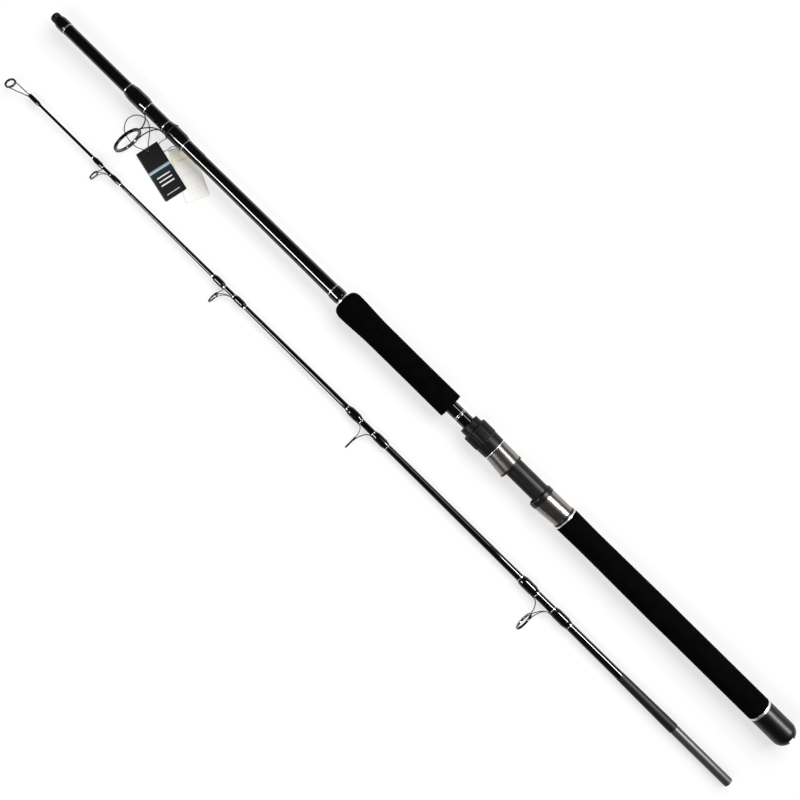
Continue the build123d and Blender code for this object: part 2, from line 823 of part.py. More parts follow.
def foot_wrap(section, start, end, seat, top_r, cut):
    """Epoxied thread over one foot: thin at both ends and fullest in the middle."""
    with BuildPart() as wrap:
        with BuildSketch(section):
            with BuildLine():
                ramp = (end - start) / 4
                thin_start = (start, seat(start) + trim_rise)
                thin_end = (end, seat(end) + trim_rise)
                rise = Spline(thin_start, (start + ramp, top_r), tangents=((1, wrap_slope), (1, 0)))
                fall = Spline((end - ramp, top_r), thin_end, tangents=((1, 0), (1, -wrap_slope)))
                Line(rise @ 1, fall @ 0)
                Polyline(fall @ 1, (end, 0), (start, 0), rise @ 0)
            make_face()
        revolve(axis=axis_of(section))
        for solid in cut:
            add(solid, mode=Mode.SUBTRACT)
    return wrap.part


def trim_band(section, start, seat, cut):
    """Narrow silver thread band that ends a wrap."""
    with BuildPart() as band:
        add(sleeve(section, start, start + trim_long, 0, seat(start) + trim_rise))
        for solid in cut:
            add(solid, mode=Mode.SUBTRACT)
    return band.part


def build_guide(section, name, guide, seat, core):
    """One guide with its frame, ring and foot wraps; returns the bands that end its wraps."""
    rear, front = wrap_runs(guide)
    seat_r = max(seat(rear[0]), seat(front[1]))
    frame = guide_frame(section, guide, seat_r)
    cut = [core, frame]
    top_r = seat_r + guide["foot_thick"] + guide["wrap_cover"]
    with BuildPart() as wraps:
        for start, end in (rear, front):
            add(foot_wrap(section, start, end, seat, top_r, cut))
    keep(frame, f"{name}_frame")
    keep(guide_ring(section, guide), f"{name}_ring")
    keep(wraps.part, f"{name}_wraps")
    starts = (rear[0] - trim_long, rear[1], front[0] - trim_long, front[1])
    return [trim_band(section, start, seat, cut) for start in starts]


# Stripper guide on its underwrap, and the silver bands of the butt section
underwrap_core = sleeve(butt, underwrap_at - trim_long, bare_sleeve_at + trim_long, 0, underwrap_r)
with BuildPart() as butt_trim_bands:
    add(build_guide(butt, "stripper", stripper, lambda station: underwrap_r, underwrap_core))
    add(sleeve(butt, bare_blank_at, bare_blank_at + trim_long, blank_r, blank_r + trim_rise))
    add(sleeve(butt, end_wrap_at - trim_long, end_wrap_at, sleeve_r, sleeve_r + trim_rise))
keep(butt_trim_bands.part, "butt_trim_bands")

# Four guides of the tip section, each on the blank's own taper, and their silver bands
with BuildPart() as tip_trim_bands:
    for guide_name, guide in guides.items():
        add(build_guide(tip, guide_name, guide, tip_radius, tip_form))
keep(tip_trim_bands.part, "tip_trim_bands")

# Tip-top: a closed tube over the blank's end, two braces and a leaning ring
tip_top = tip.rotated((tiptop_turn, 0, 0))
with BuildPart() as tiptop_frame:
    add(ring_rim(tip_top, tiptop))
    add(turned(tip, (tube_at, 0), (tube_at, tube_r), (tube_end_at, tube_r), (tube_end_at, 0)))
    for side in (-1, 1):
        brace_root = (brace_at, tube_r / 2, side * tube_r / 2)
        add(leg(tip_top, brace_root, rim_side(tiptop, side), brace_wide, tiptop["rim"], brace_thick))
    add(tip_form, mode=Mode.SUBTRACT)
keep(tiptop_frame.part, "tiptop_frame")
keep(guide_ring(tip_top, tiptop), "tiptop_ring")
tiptop_wrap = foot_wrap(
    tip,
    tiptop_wrap_at,
    tiptop_wrap_at + tiptop_wrap_long,
    lambda station: tube_r,
    tube_r + tiptop_wrap_thick,
    [tip_form, tiptop_frame.part],
)
keep(tiptop_wrap, "tiptop_wrap")


# Floor under the stripper ring: the tags, their cord and their string are placed from here
tag_floor = Plane((stripper["ring_at"] - rod_long / 2, butt_y, 0))


def card_plane(place):
    """Plane of a card's underside: its origin is the hole, and local x runs to the near end."""
    turn = radians(place["turn"])
    hole = tag_floor.from_local_coords((place["x"], place["y"], place["z"]))
    return Plane(hole, x_dir=(cos(turn), sin(turn), 0))


def card(plane):
    """Plain card with rounded corners and a punched hole at one end."""
    with BuildPart() as sheet:
        with BuildSketch(plane):
            with Locations((card_hole_in - card_long / 2, 0)):
                RectangleRounded(card_long, card_wide, card_round)
            Circle(card_hole_r, mode=Mode.SUBTRACT)
        extrude(amount=card_thick)
    return sheet.part


def knot(plane, radius, high):
    """Knot that sits on a card over its hole."""
    with BuildPart() as lump:
        with BuildSketch(plane.offset(card_thick)):
            Circle(radius)
        extrude(amount=high)
        fillet(lump.edges(), radius=round_share * high)
    return lump.part


def cord(name, diameter, points):
    """Limp cord: straight runs joined by the largest arcs that they allow."""
    corners = [Vector(*point) for point in points]
    radii = []
    for before, corner, after in zip(corners, corners[1:], corners[2:]):
        arriving = corner - before
        leaving = after - corner
        turn = radians(arriving.get_angle(leaving))
        radii.append(bend_share * min(arriving.length, leaving.length) / tan(turn / 2))
    with BuildPart() as tube:
        with BuildLine(tag_floor):
            route = FilletPolyline(*points, radius=radii)
        with BuildSketch(Plane(route @ 0, z_dir=route % 0)):
            Circle(diameter / 2)
        sweep(path=route)
    expected = pi * diameter**2 / 4 * route.length
    print(name, "length", round(route.length, 1), "radii", [round(radius, 1) for radius in radii])
    print(name, "volume", round(tube.part.volume, 2), "section times length", round(expected, 2))
    return tube.part


# Tags: two plain cards, one half under the rod, with their cord, string and knots
cream_plane = card_plane(cream_card)
black_plane = card_plane(black_card)
keep(card(cream_plane), "cream_tag")
keep(card(black_plane), "black_tag")
keep(knot(black_plane, cord_knot_r, cord_knot_high), "cord_knot")
keep(knot(cream_plane, string_knot_r, string_knot_high), "string_knot")

# Cord route over the floor, once through the stripper ring, from its knot and back to it
knot_x = black_card["x"]
knot_y = black_card["y"]
knot_z = black_card["z"] + card_thick + cord_knot_high / 2
cord_points = [
    (knot_x, knot_y - cord_d / 2, knot_z),
    (-14.0, 30.2, 2.3),
    (-8.8, 23.6, 1.0),
    (-2.4, 15.9, 0.7),
    (6.4, 10.6, 0.8),
    (16.0, 11.4, 0.7),
    (23.3, 17.3, 0.8),
    (26.6, 26.6, 0.7),
    (22.6, 35.8, 1.4),
    (14.6, 41.6, 5.2),
    (5.0, 43.9, 8.2),
    (-4.6, 45.0, 7.9),
    (-12.2, 42.6, 4.4),
    (knot_x + cord_d / 2, knot_y + cord_d / 2, knot_z),
]
keep(cord("tag_cord", cord_d, cord_points), "tag_cord")

# Loop of string, drawn tight round the stripper guide's rear wrap
loop_r = underwrap_r + stripper["foot_thick"] + stripper["wrap_cover"]
loop_at = stripper["ring_at"] - loop_behind
keep(sleeve(butt, loop_at - string_d / 2, loop_at + string_d / 2, loop_r, loop_r + string_d), "string_loop")

# String route of the cream card: under the black card's corner and up to its loop round the rod
loop_side = (loop_r + string_d / 2) * cos(radians(loop_turn))
loop_high = butt_high + (loop_r + string_d / 2) * sin(radians(loop_turn))
string_points = [
    (cream_card["x"], cream_card["y"], cream_card["z"] + card_thick + string_knot_high / 2),
    (-41.2, 8.7, 1.4),
    (-37.0, 12.9, 1.2),
    (-36.6, 19.0, 0.6),
    (-34.4, 24.7, 0.5),
    (-29.1, 27.4, 0.5),
    (-24.0, 24.6, 0.5),
    (-23.0, 18.6, 0.7),
    (-25.1, 13.0, 1.8),
    (-28.0, 8.4, 4.8),
    (-loop_behind, loop_side, loop_high),
]
keep(cord("tag_string", string_d, string_points), "tag_string")
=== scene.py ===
from math import cos, pi, radians, sin, sqrt

import bmesh
import bpy
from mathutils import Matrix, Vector


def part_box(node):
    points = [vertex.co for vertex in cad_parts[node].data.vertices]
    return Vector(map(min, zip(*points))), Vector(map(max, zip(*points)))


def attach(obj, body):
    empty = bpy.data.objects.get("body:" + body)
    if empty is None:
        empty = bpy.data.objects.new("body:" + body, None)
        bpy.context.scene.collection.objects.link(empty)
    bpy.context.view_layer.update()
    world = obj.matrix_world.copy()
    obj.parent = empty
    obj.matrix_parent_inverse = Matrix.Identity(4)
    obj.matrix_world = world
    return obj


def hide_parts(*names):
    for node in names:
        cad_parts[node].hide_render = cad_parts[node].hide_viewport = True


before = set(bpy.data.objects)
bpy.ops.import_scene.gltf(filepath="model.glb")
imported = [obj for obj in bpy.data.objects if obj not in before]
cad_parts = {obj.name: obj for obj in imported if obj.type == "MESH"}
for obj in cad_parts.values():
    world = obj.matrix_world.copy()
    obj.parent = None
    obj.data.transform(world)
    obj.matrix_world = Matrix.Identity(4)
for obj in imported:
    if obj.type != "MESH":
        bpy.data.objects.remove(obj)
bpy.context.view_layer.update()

# Butt blank and ferrule sleeve: tapered graphite tubes, rolled on a mandrel, sanded and dipped in
# gloss clear coat. The handle is built on the blank's rear, and the sleeve is bonded over its front.


def section_axis(blank, ring):
    """A rod section's axis: a point on it, its direction, the way out to its guides, and the way across."""
    low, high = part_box(blank)
    ring_low, ring_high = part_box(ring)
    middle = (low + high) / 2
    out = (ring_low + ring_high) / 2 - middle
    along = Vector((1, 0, 0))
    middle.x = 0
    out.x = 0
    out.normalize()
    return middle, along, out, along.cross(out)


def at(section, station, out=0.0, across=0.0):
    """Point at a distance along a section's axis, out to its guide side, and across."""
    origin, along, out_way, across_way = section
    return origin + along * station + out_way * out + across_way * across


def span(node):
    """Where a turned node starts and ends along its section, and its outside radius."""
    low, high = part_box(node)
    return low.x, high.x, (high.z - low.z) / 2


def add_turned(mesh, section, outline, steps=96, radius_at=None):
    """Add a shape turned round a section's axis from a closed outline of (station, radius) points."""
    rings = []
    for station, radius in outline:
        ring = []
        for step in range(steps if radius > 0 else 1):
            angle = 2 * pi * step / steps
            reach = radius_at(angle, station, radius) if radius_at else radius
            ring.append(mesh.verts.new(at(section, station, reach * cos(angle), reach * sin(angle))))
        rings.append(ring)
    for near, far in zip(rings, rings[1:] + rings[:1]):
        for step in range(steps):
            corners = []
            for ring, place in ((near, step), (near, step + 1), (far, step + 1), (far, step)):
                corner = ring[place % len(ring)]
                if corner not in corners:
                    corners.append(corner)
            if len(corners) > 2:
                mesh.faces.new(corners)


def new_object(name, data):
    """Put an object with the given data in the scene."""
    made = bpy.data.objects.new(name, data)
    bpy.context.scene.collection.objects.link(made)
    return made


def as_piece(name, mesh, sharp=40):
    """Make a piece of a finished mesh, smooth but for edges sharper than an angle in degrees."""
    bmesh.ops.recalc_face_normals(mesh, faces=mesh.faces[:])
    data = bpy.data.meshes.new(name)
    mesh.to_mesh(data)
    mesh.free()
    data.shade_smooth()
    data.set_sharp_from_angle(angle=radians(sharp))
    return new_object(name, data)


def turned(name, section, *outlines, steps=96, radius_at=None):
    """Piece made of one or more turned shapes."""
    mesh = bmesh.new()
    for outline in outlines:
        add_turned(mesh, section, outline, steps, radius_at)
    return as_piece(name, mesh)


def eased(outline, ease=0.0003, flat=150, steps=4):
    """Closed outline with its corners rounded over, but for those flatter than an angle in degrees."""
    rounded = []
    for before, corner, after in zip(outline[-1:] + outline[:-1], outline, outline[1:] + outline[:1]):
        here = Vector(corner)
        back = Vector(before) - here
        on = Vector(after) - here
        if corner[1] == 0 or back.angle(on, pi) > radians(flat):
            rounded.append(corner)
            continue
        start = here + back.normalized() * min(ease, back.length / 2)
        end = here + on.normalized() * min(ease, on.length / 2)
        for step in range(steps + 1):
            share = step / steps
            rounded.append(tuple(start.lerp(here, share).lerp(here.lerp(end, share), share)))
    return rounded


def dress(piece, body, material, slot, *nodes):
    """Give a piece its material and its body, and hide the nodes that it stands for. The slot is not used.
    """
    piece.data.materials.append(material)
    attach(piece, body)
    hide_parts(*nodes)
    return piece


def linear(colour):
    """Linear colour from an sRGB hex value."""
    shares = [int(colour[place : place + 2], 16) / 255 for place in (1, 3, 5)]
    return [c / 12.92 if c <= 0.04045 else ((c + 0.055) / 1.055) ** 2.4 for c in shares] + [1]


def fill(tree, node, sockets):
    """Fill a node's sockets with values, or with links from other nodes' sockets."""
    for socket, value in sockets.items():
        if isinstance(value, bpy.types.NodeSocket):
            tree.links.new(value, node.inputs[socket])
        else:
            node.inputs[socket].default_value = value


def add_node(tree, kind, sockets=None, stops=(), **settings):
    """Add a shader node with its settings, its sockets and, on a colour ramp, its stops."""
    node = tree.nodes.new("ShaderNode" + kind)
    for setting, value in settings.items():
        setattr(node, setting, value)
    fill(tree, node, sockets or {})
    for place, (position, colour) in enumerate(stops):
        elements = node.color_ramp.elements
        stop = elements[place] if place < 2 else elements.new(position)
        stop.position = position
        stop.color = linear(colour)
    return node


def new_material(name):
    """Start a material: returns it, its nodes, and the object's own coordinates in metres."""
    material = bpy.data.materials.new(name)
    material.use_nodes = True
    tree = material.node_tree
    return material, tree, add_node(tree, "TexCoord").outputs["Object"]


def surface(tree, sockets):
    """Fill the sockets of a material's own shader."""
    fill(tree, tree.nodes["Principled BSDF"], sockets)


# Clear-coated graphite: black fibres run along the tube under a thick glossy dip, so the eye sees a
# deep black with one sharp line of light and, close up, faint streaks along the rod. Single fibres
# are too fine to show, so a streak is drawn as wide as a small bundle of them.
fibre_long = 0.05
fibre_wide = 0.0007
graphite, tree, place = new_material("clear_coated_graphite")
streaks = add_node(
    tree, "Mapping", {"Vector": place, "Scale": (1 / fibre_long, 1 / fibre_wide, 1 / fibre_wide)}
)
fibres = add_node(tree, "TexNoise", {"Vector": streaks.outputs[0], "Scale": 1.0, "Detail": 2.0})
fibre_tint = add_node(
    tree, "ValToRGB", {"Fac": fibres.outputs["Fac"]}, stops=((0.35, "#010101"), (0.75, "#060607"))
)
surface(
    tree,
    {
        "Base Color": fibre_tint.outputs["Color"],
        "Specular IOR Level": 0.0,
        "Coat Weight": 1.0,
        "Coat Roughness": 0.05,
    },
)

butt = section_axis("butt_blank", "stripper_ring")
blank_wall = 0.0013
bare_end_r = 0.00785
blank_front_r = 0.00675
blank_start, blank_end, blank_r = span("butt_blank")
grip_wrap_start, grip_wrap_end, grip_wrap_r = span("grip_wrap")
underwrap_start, underwrap_end, underwrap_r = span("stripper_underwrap")
butt_tube = turned(
    "butt_tube",
    butt,
    [
        (blank_start, blank_r),
        (grip_wrap_end, blank_r),
        (underwrap_start, bare_end_r),
        (blank_end, blank_front_r),
        (blank_end, blank_front_r - blank_wall),
        (blank_start, blank_r - blank_wall),
    ],
)
dress(butt_tube, "butt_section", graphite, "gloss_graphite", "butt_blank")

socket_r = 0.00645
sleeve_start, sleeve_end, sleeve_r = span("ferrule_sleeve")
sleeve_outline = [
    (sleeve_start, blank_front_r),
    (sleeve_start, sleeve_r),
    (sleeve_end, sleeve_r),
    (sleeve_end, socket_r),
    (blank_end, socket_r),
    (blank_end, blank_front_r),
]
ferrule_tube = turned("ferrule_tube", butt, eased(sleeve_outline))
dress(ferrule_tube, "butt_section", graphite, "gloss_graphite", "ferrule_sleeve")

# Butt cap: a rubber cup pushed over the blank's end, with crossed slots that sit on a rod holder's
# pin. Moulded in a spark-eroded tool, so it has an even satin sheen with a slight grain. The grain
# is drawn at 0.6 mm so that it shows; the tool's own is finer.
grain_wide = 0.0006
fine_relief = 0.0001
rubber, tree, place = new_material("moulded_rubber")
grain = add_node(tree, "TexNoise", {"Vector": place, "Scale": 1 / grain_wide, "Detail": 3.0})
rubber_tint = add_node(
    tree, "ValToRGB", {"Fac": grain.outputs["Fac"]}, stops=((0.3, "#020202"), (0.7, "#060606"))
)
rubber_bump = add_node(
    tree, "Bump", {"Height": grain.outputs["Fac"], "Strength": 0.25, "Distance": fine_relief}
)
surface(
    tree,
    {
        "Base Color": rubber_tint.outputs["Color"],
        "Roughness": 0.36,
        "Specular IOR Level": 0.25,
        "Normal": rubber_bump.outputs["Normal"],
    },
)


def coat(material, *nodes):
    """Give carried-over nodes a material in place of their plain one."""
    for node in nodes:
        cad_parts[node].data.materials.clear()
        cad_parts[node].data.materials.append(material)


coat(rubber, "butt_cap")

# Trim rings at the butt, the seat and the nut, and the winding check: turned aluminium, bright from
# the lathe tool, slid into place and glued. The tool leaves rings on their faces, drawn at 0.4 mm so
# that they show; real ones are finer.
tool_pitch = 0.0004
wave_spacing = pi / 10  # between the bands of a wave texture whose scale is 1
aluminium, tree, place = new_material("turned_aluminium")
tool_rings = add_node(
    tree,
    "TexWave",
    {"Vector": place, "Scale": wave_spacing / tool_pitch, "Distortion": 0.6, "Detail": 1.0},
    bands_direction="X",
)
shine = add_node(
    tree, "MapRange", {"Value": tool_rings.outputs["Fac"], "To Min": 0.3, "To Max": 0.42}
)
surface(
    tree,
    {
        "Base Color": linear("#e4e4e2"),
        "Metallic": 1.0,
        "Roughness": shine.outputs["Result"],
    },
)


def plain_ring(start, end, bore_r, ring_r):
    """Outline of a ring or a tube with square edges."""
    return [(start, bore_r), (start, ring_r), (end, ring_r), (end, bore_r)]


def ring_outline(node, bore_r):
    """Outline of a plain ring as wide and as large as a node, down to its bore."""
    start, end, ring_r = span(node)
    return eased(plain_ring(start, end, bore_r, ring_r))


for ring_node in ("butt_ring", "seat_ring"):
    bright_ring = turned(ring_node + "_turned", butt, ring_outline(ring_node, blank_r))
    dress(bright_ring, "butt_section", aluminium, "bright_aluminium", ring_node)
check_start, check_end, check_r = span("winding_check")
check_bevel = (check_end - check_start) / 2
check_outline = [
    (check_start, blank_r),
    (check_start, check_r),
    (check_start + check_bevel, check_r),
    (check_end, check_r - check_bevel),
    (check_end, blank_r),
]
check_ring = turned("winding_check_turned", butt, eased(check_outline))
dress(check_ring, "butt_section", aluminium, "bright_aluminium", "winding_check")

# Grips: closed-cell foam tubes, ground to shape on the blank. The grinding opens small cells, so the
# surface is dull black with a fine pitted nap. Both have a slight waist, and the front one a bulb.
# The cells are drawn at 0.9 mm so that they show; real ones are finer.
cell_wide = 0.0009
cell_deep = 0.0003
nap_wide = 0.012
foam, tree, place = new_material("ground_foam")
cells = add_node(tree, "TexVoronoi", {"Vector": place, "Scale": 1 / cell_wide})
nap = add_node(tree, "TexNoise", {"Vector": place, "Scale": 1 / nap_wide, "Detail": 4.0})
foam_tint = add_node(
    tree, "ValToRGB", {"Fac": nap.outputs["Fac"]}, stops=((0.3, "#010101"), (0.75, "#050505"))
)
foam_bump = add_node(
    tree, "Bump", {"Height": cells.outputs["Distance"], "Strength": 0.5, "Distance": cell_deep}
)
surface(
    tree,
    {
        "Base Color": foam_tint.outputs["Color"],
        "Roughness": 0.95,
        "Specular IOR Level": 0.02,
        "Normal": foam_bump.outputs["Normal"],
    },
)


def flowing(*keys, steps=12):
    """Smooth skin through (station, radius) keys, level at each of them."""
    skin = []
    for (start, start_r), (end, end_r) in zip(keys, keys[1:]):
        for step in range(steps):
            share = step / steps
            swing = share * share * (3 - 2 * share)
            skin.append((start + (end - start) * share, start_r + (end_r - start_r) * swing))
    return skin + [keys[-1]]


def rounded_nose(start, end, start_r, end_r, steps):
    """Quarter-round skin that turns in from one station and radius to another."""
    skin = []
    for step in range(steps + 1):
        turn = pi / 2 * step / steps
        skin.append((start + (end - start) * sin(turn), end_r + (start_r - end_r) * cos(turn)))
    return skin


grip_r = 0.0166
grip_edge = 0.0012
rear_start, rear_end, _ = span("rear_grip")
straight_long = 0.140
swell_in = 0.166
swell_r = 0.01675
rear_waist_in = 0.291
rear_waist_r = 0.0161
rear_skin = flowing(
    (rear_start, grip_r),
    (rear_start + straight_long, grip_r),
    (rear_start + swell_in, swell_r),
    (rear_start + rear_waist_in, rear_waist_r),
    (rear_end, grip_r),
)
rear_foam = turned(
    "rear_foam", butt, eased([(rear_start, blank_r)] + rear_skin + [(rear_end, blank_r)], grip_edge)
)
dress(rear_foam, "butt_section", foam, "foam", "rear_grip")

fore_start, fore_end, bulb_r = span("foregrip")
fore_waist_in = 0.069
fore_waist_r = 0.01645
bulb_swell_long = 0.050
bulb_nose_long = 0.011
bulb_front_r = 0.0104
bulb_at = fore_end - bulb_nose_long
fore_skin = flowing(
    (fore_start, grip_r),
    (fore_start + fore_waist_in, fore_waist_r),
    (bulb_at - bulb_swell_long, grip_r),
    (bulb_at, bulb_r),
)
fore_skin += rounded_nose(bulb_at, fore_end, bulb_r, bulb_front_r, steps=12)[1:]
fore_foam = turned(
    "fore_foam", butt, eased([(fore_start, blank_r)] + fore_skin + [(fore_end, blank_r)], grip_edge)
)
dress(fore_foam, "butt_section", foam, "foam", "foregrip")

# Reel seat: a barrel of nylon filled with graphite, bored for the blank and bedded on tape arbors.
# The tool gives it a dark brown-grey satin skin with soft flow marks along the barrel.
flow_long = 0.03
flow_wide = 0.004
nylon, tree, place = new_material("graphite_filled_nylon")
flow = add_node(
    tree, "Mapping", {"Vector": place, "Scale": (1 / flow_long, 1 / flow_wide, 1 / flow_wide)}
)
marks = add_node(tree, "TexNoise", {"Vector": flow.outputs[0], "Scale": 1.0, "Detail": 4.0})
nylon_tint = add_node(
    tree, "ValToRGB", {"Fac": marks.outputs["Fac"]}, stops=((0.3, "#0b0a09"), (0.7, "#14120f"))
)
nylon_sheen = add_node(tree, "MapRange", {"Value": marks.outputs["Fac"], "To Min": 0.34, "To Max": 0.42})
surface(
    tree,
    {
        "Base Color": nylon_tint.outputs["Color"],
        "Roughness": nylon_sheen.outputs["Result"],
        "Specular IOR Level": 0.2,
    },
)
coat(nylon, "seat_body")

# Paper tape wound on in close turns: dull buff, a little darker at each turn's edge.
tape_pitch = 0.006
tape, tree, place = new_material("wound_paper_tape")
tape_turns = add_node(
    tree,
    "TexWave",
    {"Vector": place, "Scale": wave_spacing / tape_pitch, "Distortion": 1.0},
    bands_direction="X",
)
tape_tint = add_node(
    tree, "ValToRGB", {"Fac": tape_turns.outputs["Fac"]}, stops=((0.2, "#b9a27a"), (0.8, "#cdb68c"))
)
surface(tree, {"Base Color": tape_tint.outputs["Color"], "Roughness": 0.85})
coat(tape, "seat_arbors")

# Hoods: shells pressed from stainless sheet and brushed round, one fixed and one that slides on the
# barrel's key. The brushing spreads the light in soft grey glints; its lines are drawn 2 mm wide so
# that they show. Their linings and flanges, and the seat's collar, are black moulded nylon.
brush_wide = 0.002
brush_long = 0.02
steel, tree, place = new_material("pressed_stainless_steel")
brush = add_node(
    tree, "Mapping", {"Vector": place, "Scale": (1 / brush_wide, 1 / brush_long, 1 / brush_long)}
)
brushing = add_node(tree, "TexNoise", {"Vector": brush.outputs[0], "Scale": 1.0, "Detail": 3.0})
steel_sheen = add_node(tree, "MapRange", {"Value": brushing.outputs["Fac"], "To Min": 0.2, "To Max": 0.27})
surface(
    tree,
    {
        "Base Color": linear("#8d8884"),
        "Metallic": 1.0,
        "Roughness": steel_sheen.outputs["Result"],
    },
)
coat(steel, "fixed_hood", "moving_hood")

# Black nylon as it leaves the mould: satin black, with a grain as slight as the cap's.
black_nylon, tree, place = new_material("black_moulded_nylon")
speckle = add_node(tree, "TexNoise", {"Vector": place, "Scale": 1 / grain_wide, "Detail": 2.0})
black_sheen = add_node(tree, "MapRange", {"Value": speckle.outputs["Fac"], "To Min": 0.3, "To Max": 0.42})
black_tint = add_node(
    tree, "ValToRGB", {"Fac": speckle.outputs["Fac"]}, stops=((0.3, "#040404"), (0.7, "#0a0a0a"))
)
surface(
    tree,
    {
        "Base Color": black_tint.outputs["Color"],
        "Roughness": black_sheen.outputs["Result"],
        "Specular IOR Level": 0.25,
    },
)
coat(black_nylon, "fixed_hood_cushion", "moving_hood_cushion")
collar = turned("seat_collar_moulded", butt, ring_outline("seat_collar", blank_r))
dress(collar, "butt_section", black_nylon, "black_plastic", "seat_collar")

# Nut: a moulded sleeve that screws along the seat and carries the moving hood on its claw. A smooth
# cone leads to a fluted grip for the fingers and a low collar; an aluminium ring faces its rear.
# Its tool is grained, so it is a flatter black than the other mouldings.
nut_plastic, tree, place = new_material("fine_grained_nylon")
nut_grain = add_node(tree, "TexNoise", {"Vector": place, "Scale": 1 / grain_wide, "Detail": 4.0})
nut_tint = add_node(
    tree, "ValToRGB", {"Fac": nut_grain.outputs["Fac"]}, stops=((0.3, "#030303"), (0.7, "#090908"))
)
nut_bump = add_node(
    tree, "Bump", {"Height": nut_grain.outputs["Fac"], "Strength": 0.3, "Distance": fine_relief}
)
surface(
    tree,
    {
        "Base Color": nut_tint.outputs["Color"],
        "Roughness": 0.42,
        "Specular IOR Level": 0.15,
        "Normal": nut_bump.outputs["Normal"],
    },
)

nut_start, nut_end, _ = span("seat_nut")
nut_bore_r = 0.0112
nut_bevel = 0.0013
nut_ease = 0.0004
claw_long = 0.002
claw_r = 0.0141
nose_r = 0.0132
cone_long = 0.0138
cone_rear_r = 0.0157
cone_front_r = 0.0160
collar_long = 0.009
collar_r = 0.0134
flute_count = 24
flute_steps = 14
flute_long = 0.021
flute_r = 0.00115
flute_crest_r = 0.01685
flute_centre_out = 0.00035
flute_centre_r = flute_crest_r + flute_centre_out
claw_end = nut_start + claw_long
collar_start = nut_end - collar_long
flute_start = collar_start - flute_long
cone_start = flute_start - cone_long
station_slack = 0.0001


def fluted(angle, station, radius):
    """Radius of the nut where round flutes cut its grip."""
    if not flute_start - station_slack <= station <= collar_start + station_slack:
        return radius
    pitch = 2 * pi / flute_count
    aside = flute_centre_r * ((angle + pitch / 2) % pitch - pitch / 2)
    if abs(aside) >= flute_r:
        return radius
    return min(radius, flute_centre_r - sqrt(flute_r**2 - aside**2))


nut_outline = [
    (nut_start, nut_bore_r),
    (nut_start, claw_r),
    (claw_end, claw_r),
    (claw_end, nose_r),
    (cone_start, nose_r),
    (cone_start, cone_rear_r),
    (flute_start, cone_front_r),
    (flute_start + nut_bevel, flute_crest_r),
    (collar_start - nut_bevel, flute_crest_r),
    (collar_start, flute_crest_r - nut_bevel),
    (collar_start, collar_r),
    (nut_end, collar_r),
    (nut_end, nut_bore_r),
]
nut_sleeve = turned(
    "nut_sleeve", butt, eased(nut_outline, nut_ease), steps=flute_count * flute_steps, radius_at=fluted
)
dress(nut_sleeve, "locking_nut", nut_plastic, "nut_plastic", "seat_nut")
nut_trim = turned("nut_ring_turned", butt, ring_outline("nut_ring", nose_r))
dress(nut_trim, "locking_nut", aluminium, "bright_aluminium", "nut_ring")

# Wraps: black nylon thread wound tight on the blank and flooded with clear epoxy, which levels to a
# glossy skin. Real thread is about 0.2 mm; the turns are drawn at 0.6 mm so that they show.
thread_pitch = 0.0006
wrap, tree, place = new_material("epoxied_nylon_thread")
thread_turns = add_node(
    tree,
    "TexWave",
    {"Vector": place, "Scale": wave_spacing / thread_pitch, "Distortion": 0.3},
    bands_direction="X",
)
wrap_tint = add_node(
    tree, "ValToRGB", {"Fac": thread_turns.outputs["Fac"]}, stops=((0.2, "#010101"), (0.8, "#070708"))
)
thread_bump = add_node(
    tree, "Bump", {"Height": thread_turns.outputs["Fac"], "Strength": 0.1, "Distance": fine_relief}
)
surface(
    tree,
    {
        "Base Color": wrap_tint.outputs["Color"],
        "Specular IOR Level": 0.0,
        "Normal": thread_bump.outputs["Normal"],
        "Coat Weight": 1.0,
        "Coat Roughness": 0.06,
    },
)

thin_edge = 0.0004


def wrap_outline(start, end, start_r, end_r, top_r):
    """Outline of a wrap: thin at both ends, where it lies on the given radii, with a full middle."""
    ramp = (end - start) / 4
    skin = flowing(
        (start, start_r + thin_edge), (start + ramp, top_r), (end - ramp, top_r), (end, end_r + thin_edge)
    )
    return [(start, start_r - thin_edge)] + skin + [(end, end_r - thin_edge)]


grip_winding = turned(
    "grip_winding", butt, wrap_outline(grip_wrap_start, grip_wrap_end, blank_r, blank_r, grip_wrap_r)
)
dress(grip_winding, "butt_section", wrap, "epoxy_wrap", "grip_wrap")
underwrap_outline = plain_ring(underwrap_start, underwrap_end, blank_front_r, underwrap_r)
underwinding = turned("stripper_underwinding", butt, eased(underwrap_outline, thin_edge))
dress(underwinding, "butt_section", wrap, "epoxy_wrap", "stripper_underwrap")
end_wrap_start, end_wrap_end, end_wrap_r = span("ferrule_wrap")
end_wrap_rise = 0.0015
end_wrap_fall = 0.003
end_wrap_lip = 0.0001
end_wrap_skin = flowing(
    (end_wrap_start, sleeve_r + thin_edge),
    (end_wrap_start + end_wrap_rise, end_wrap_r),
    (end_wrap_end - end_wrap_fall, end_wrap_r),
    (end_wrap_end, sleeve_r + end_wrap_lip),
)
end_wrap_inside = [(end_wrap_end, sleeve_r - thin_edge), (end_wrap_start, sleeve_r - thin_edge)]
end_winding = turned("ferrule_winding", butt, end_wrap_skin + end_wrap_inside)
dress(end_winding, "butt_section", wrap, "epoxy_wrap", "ferrule_wrap")

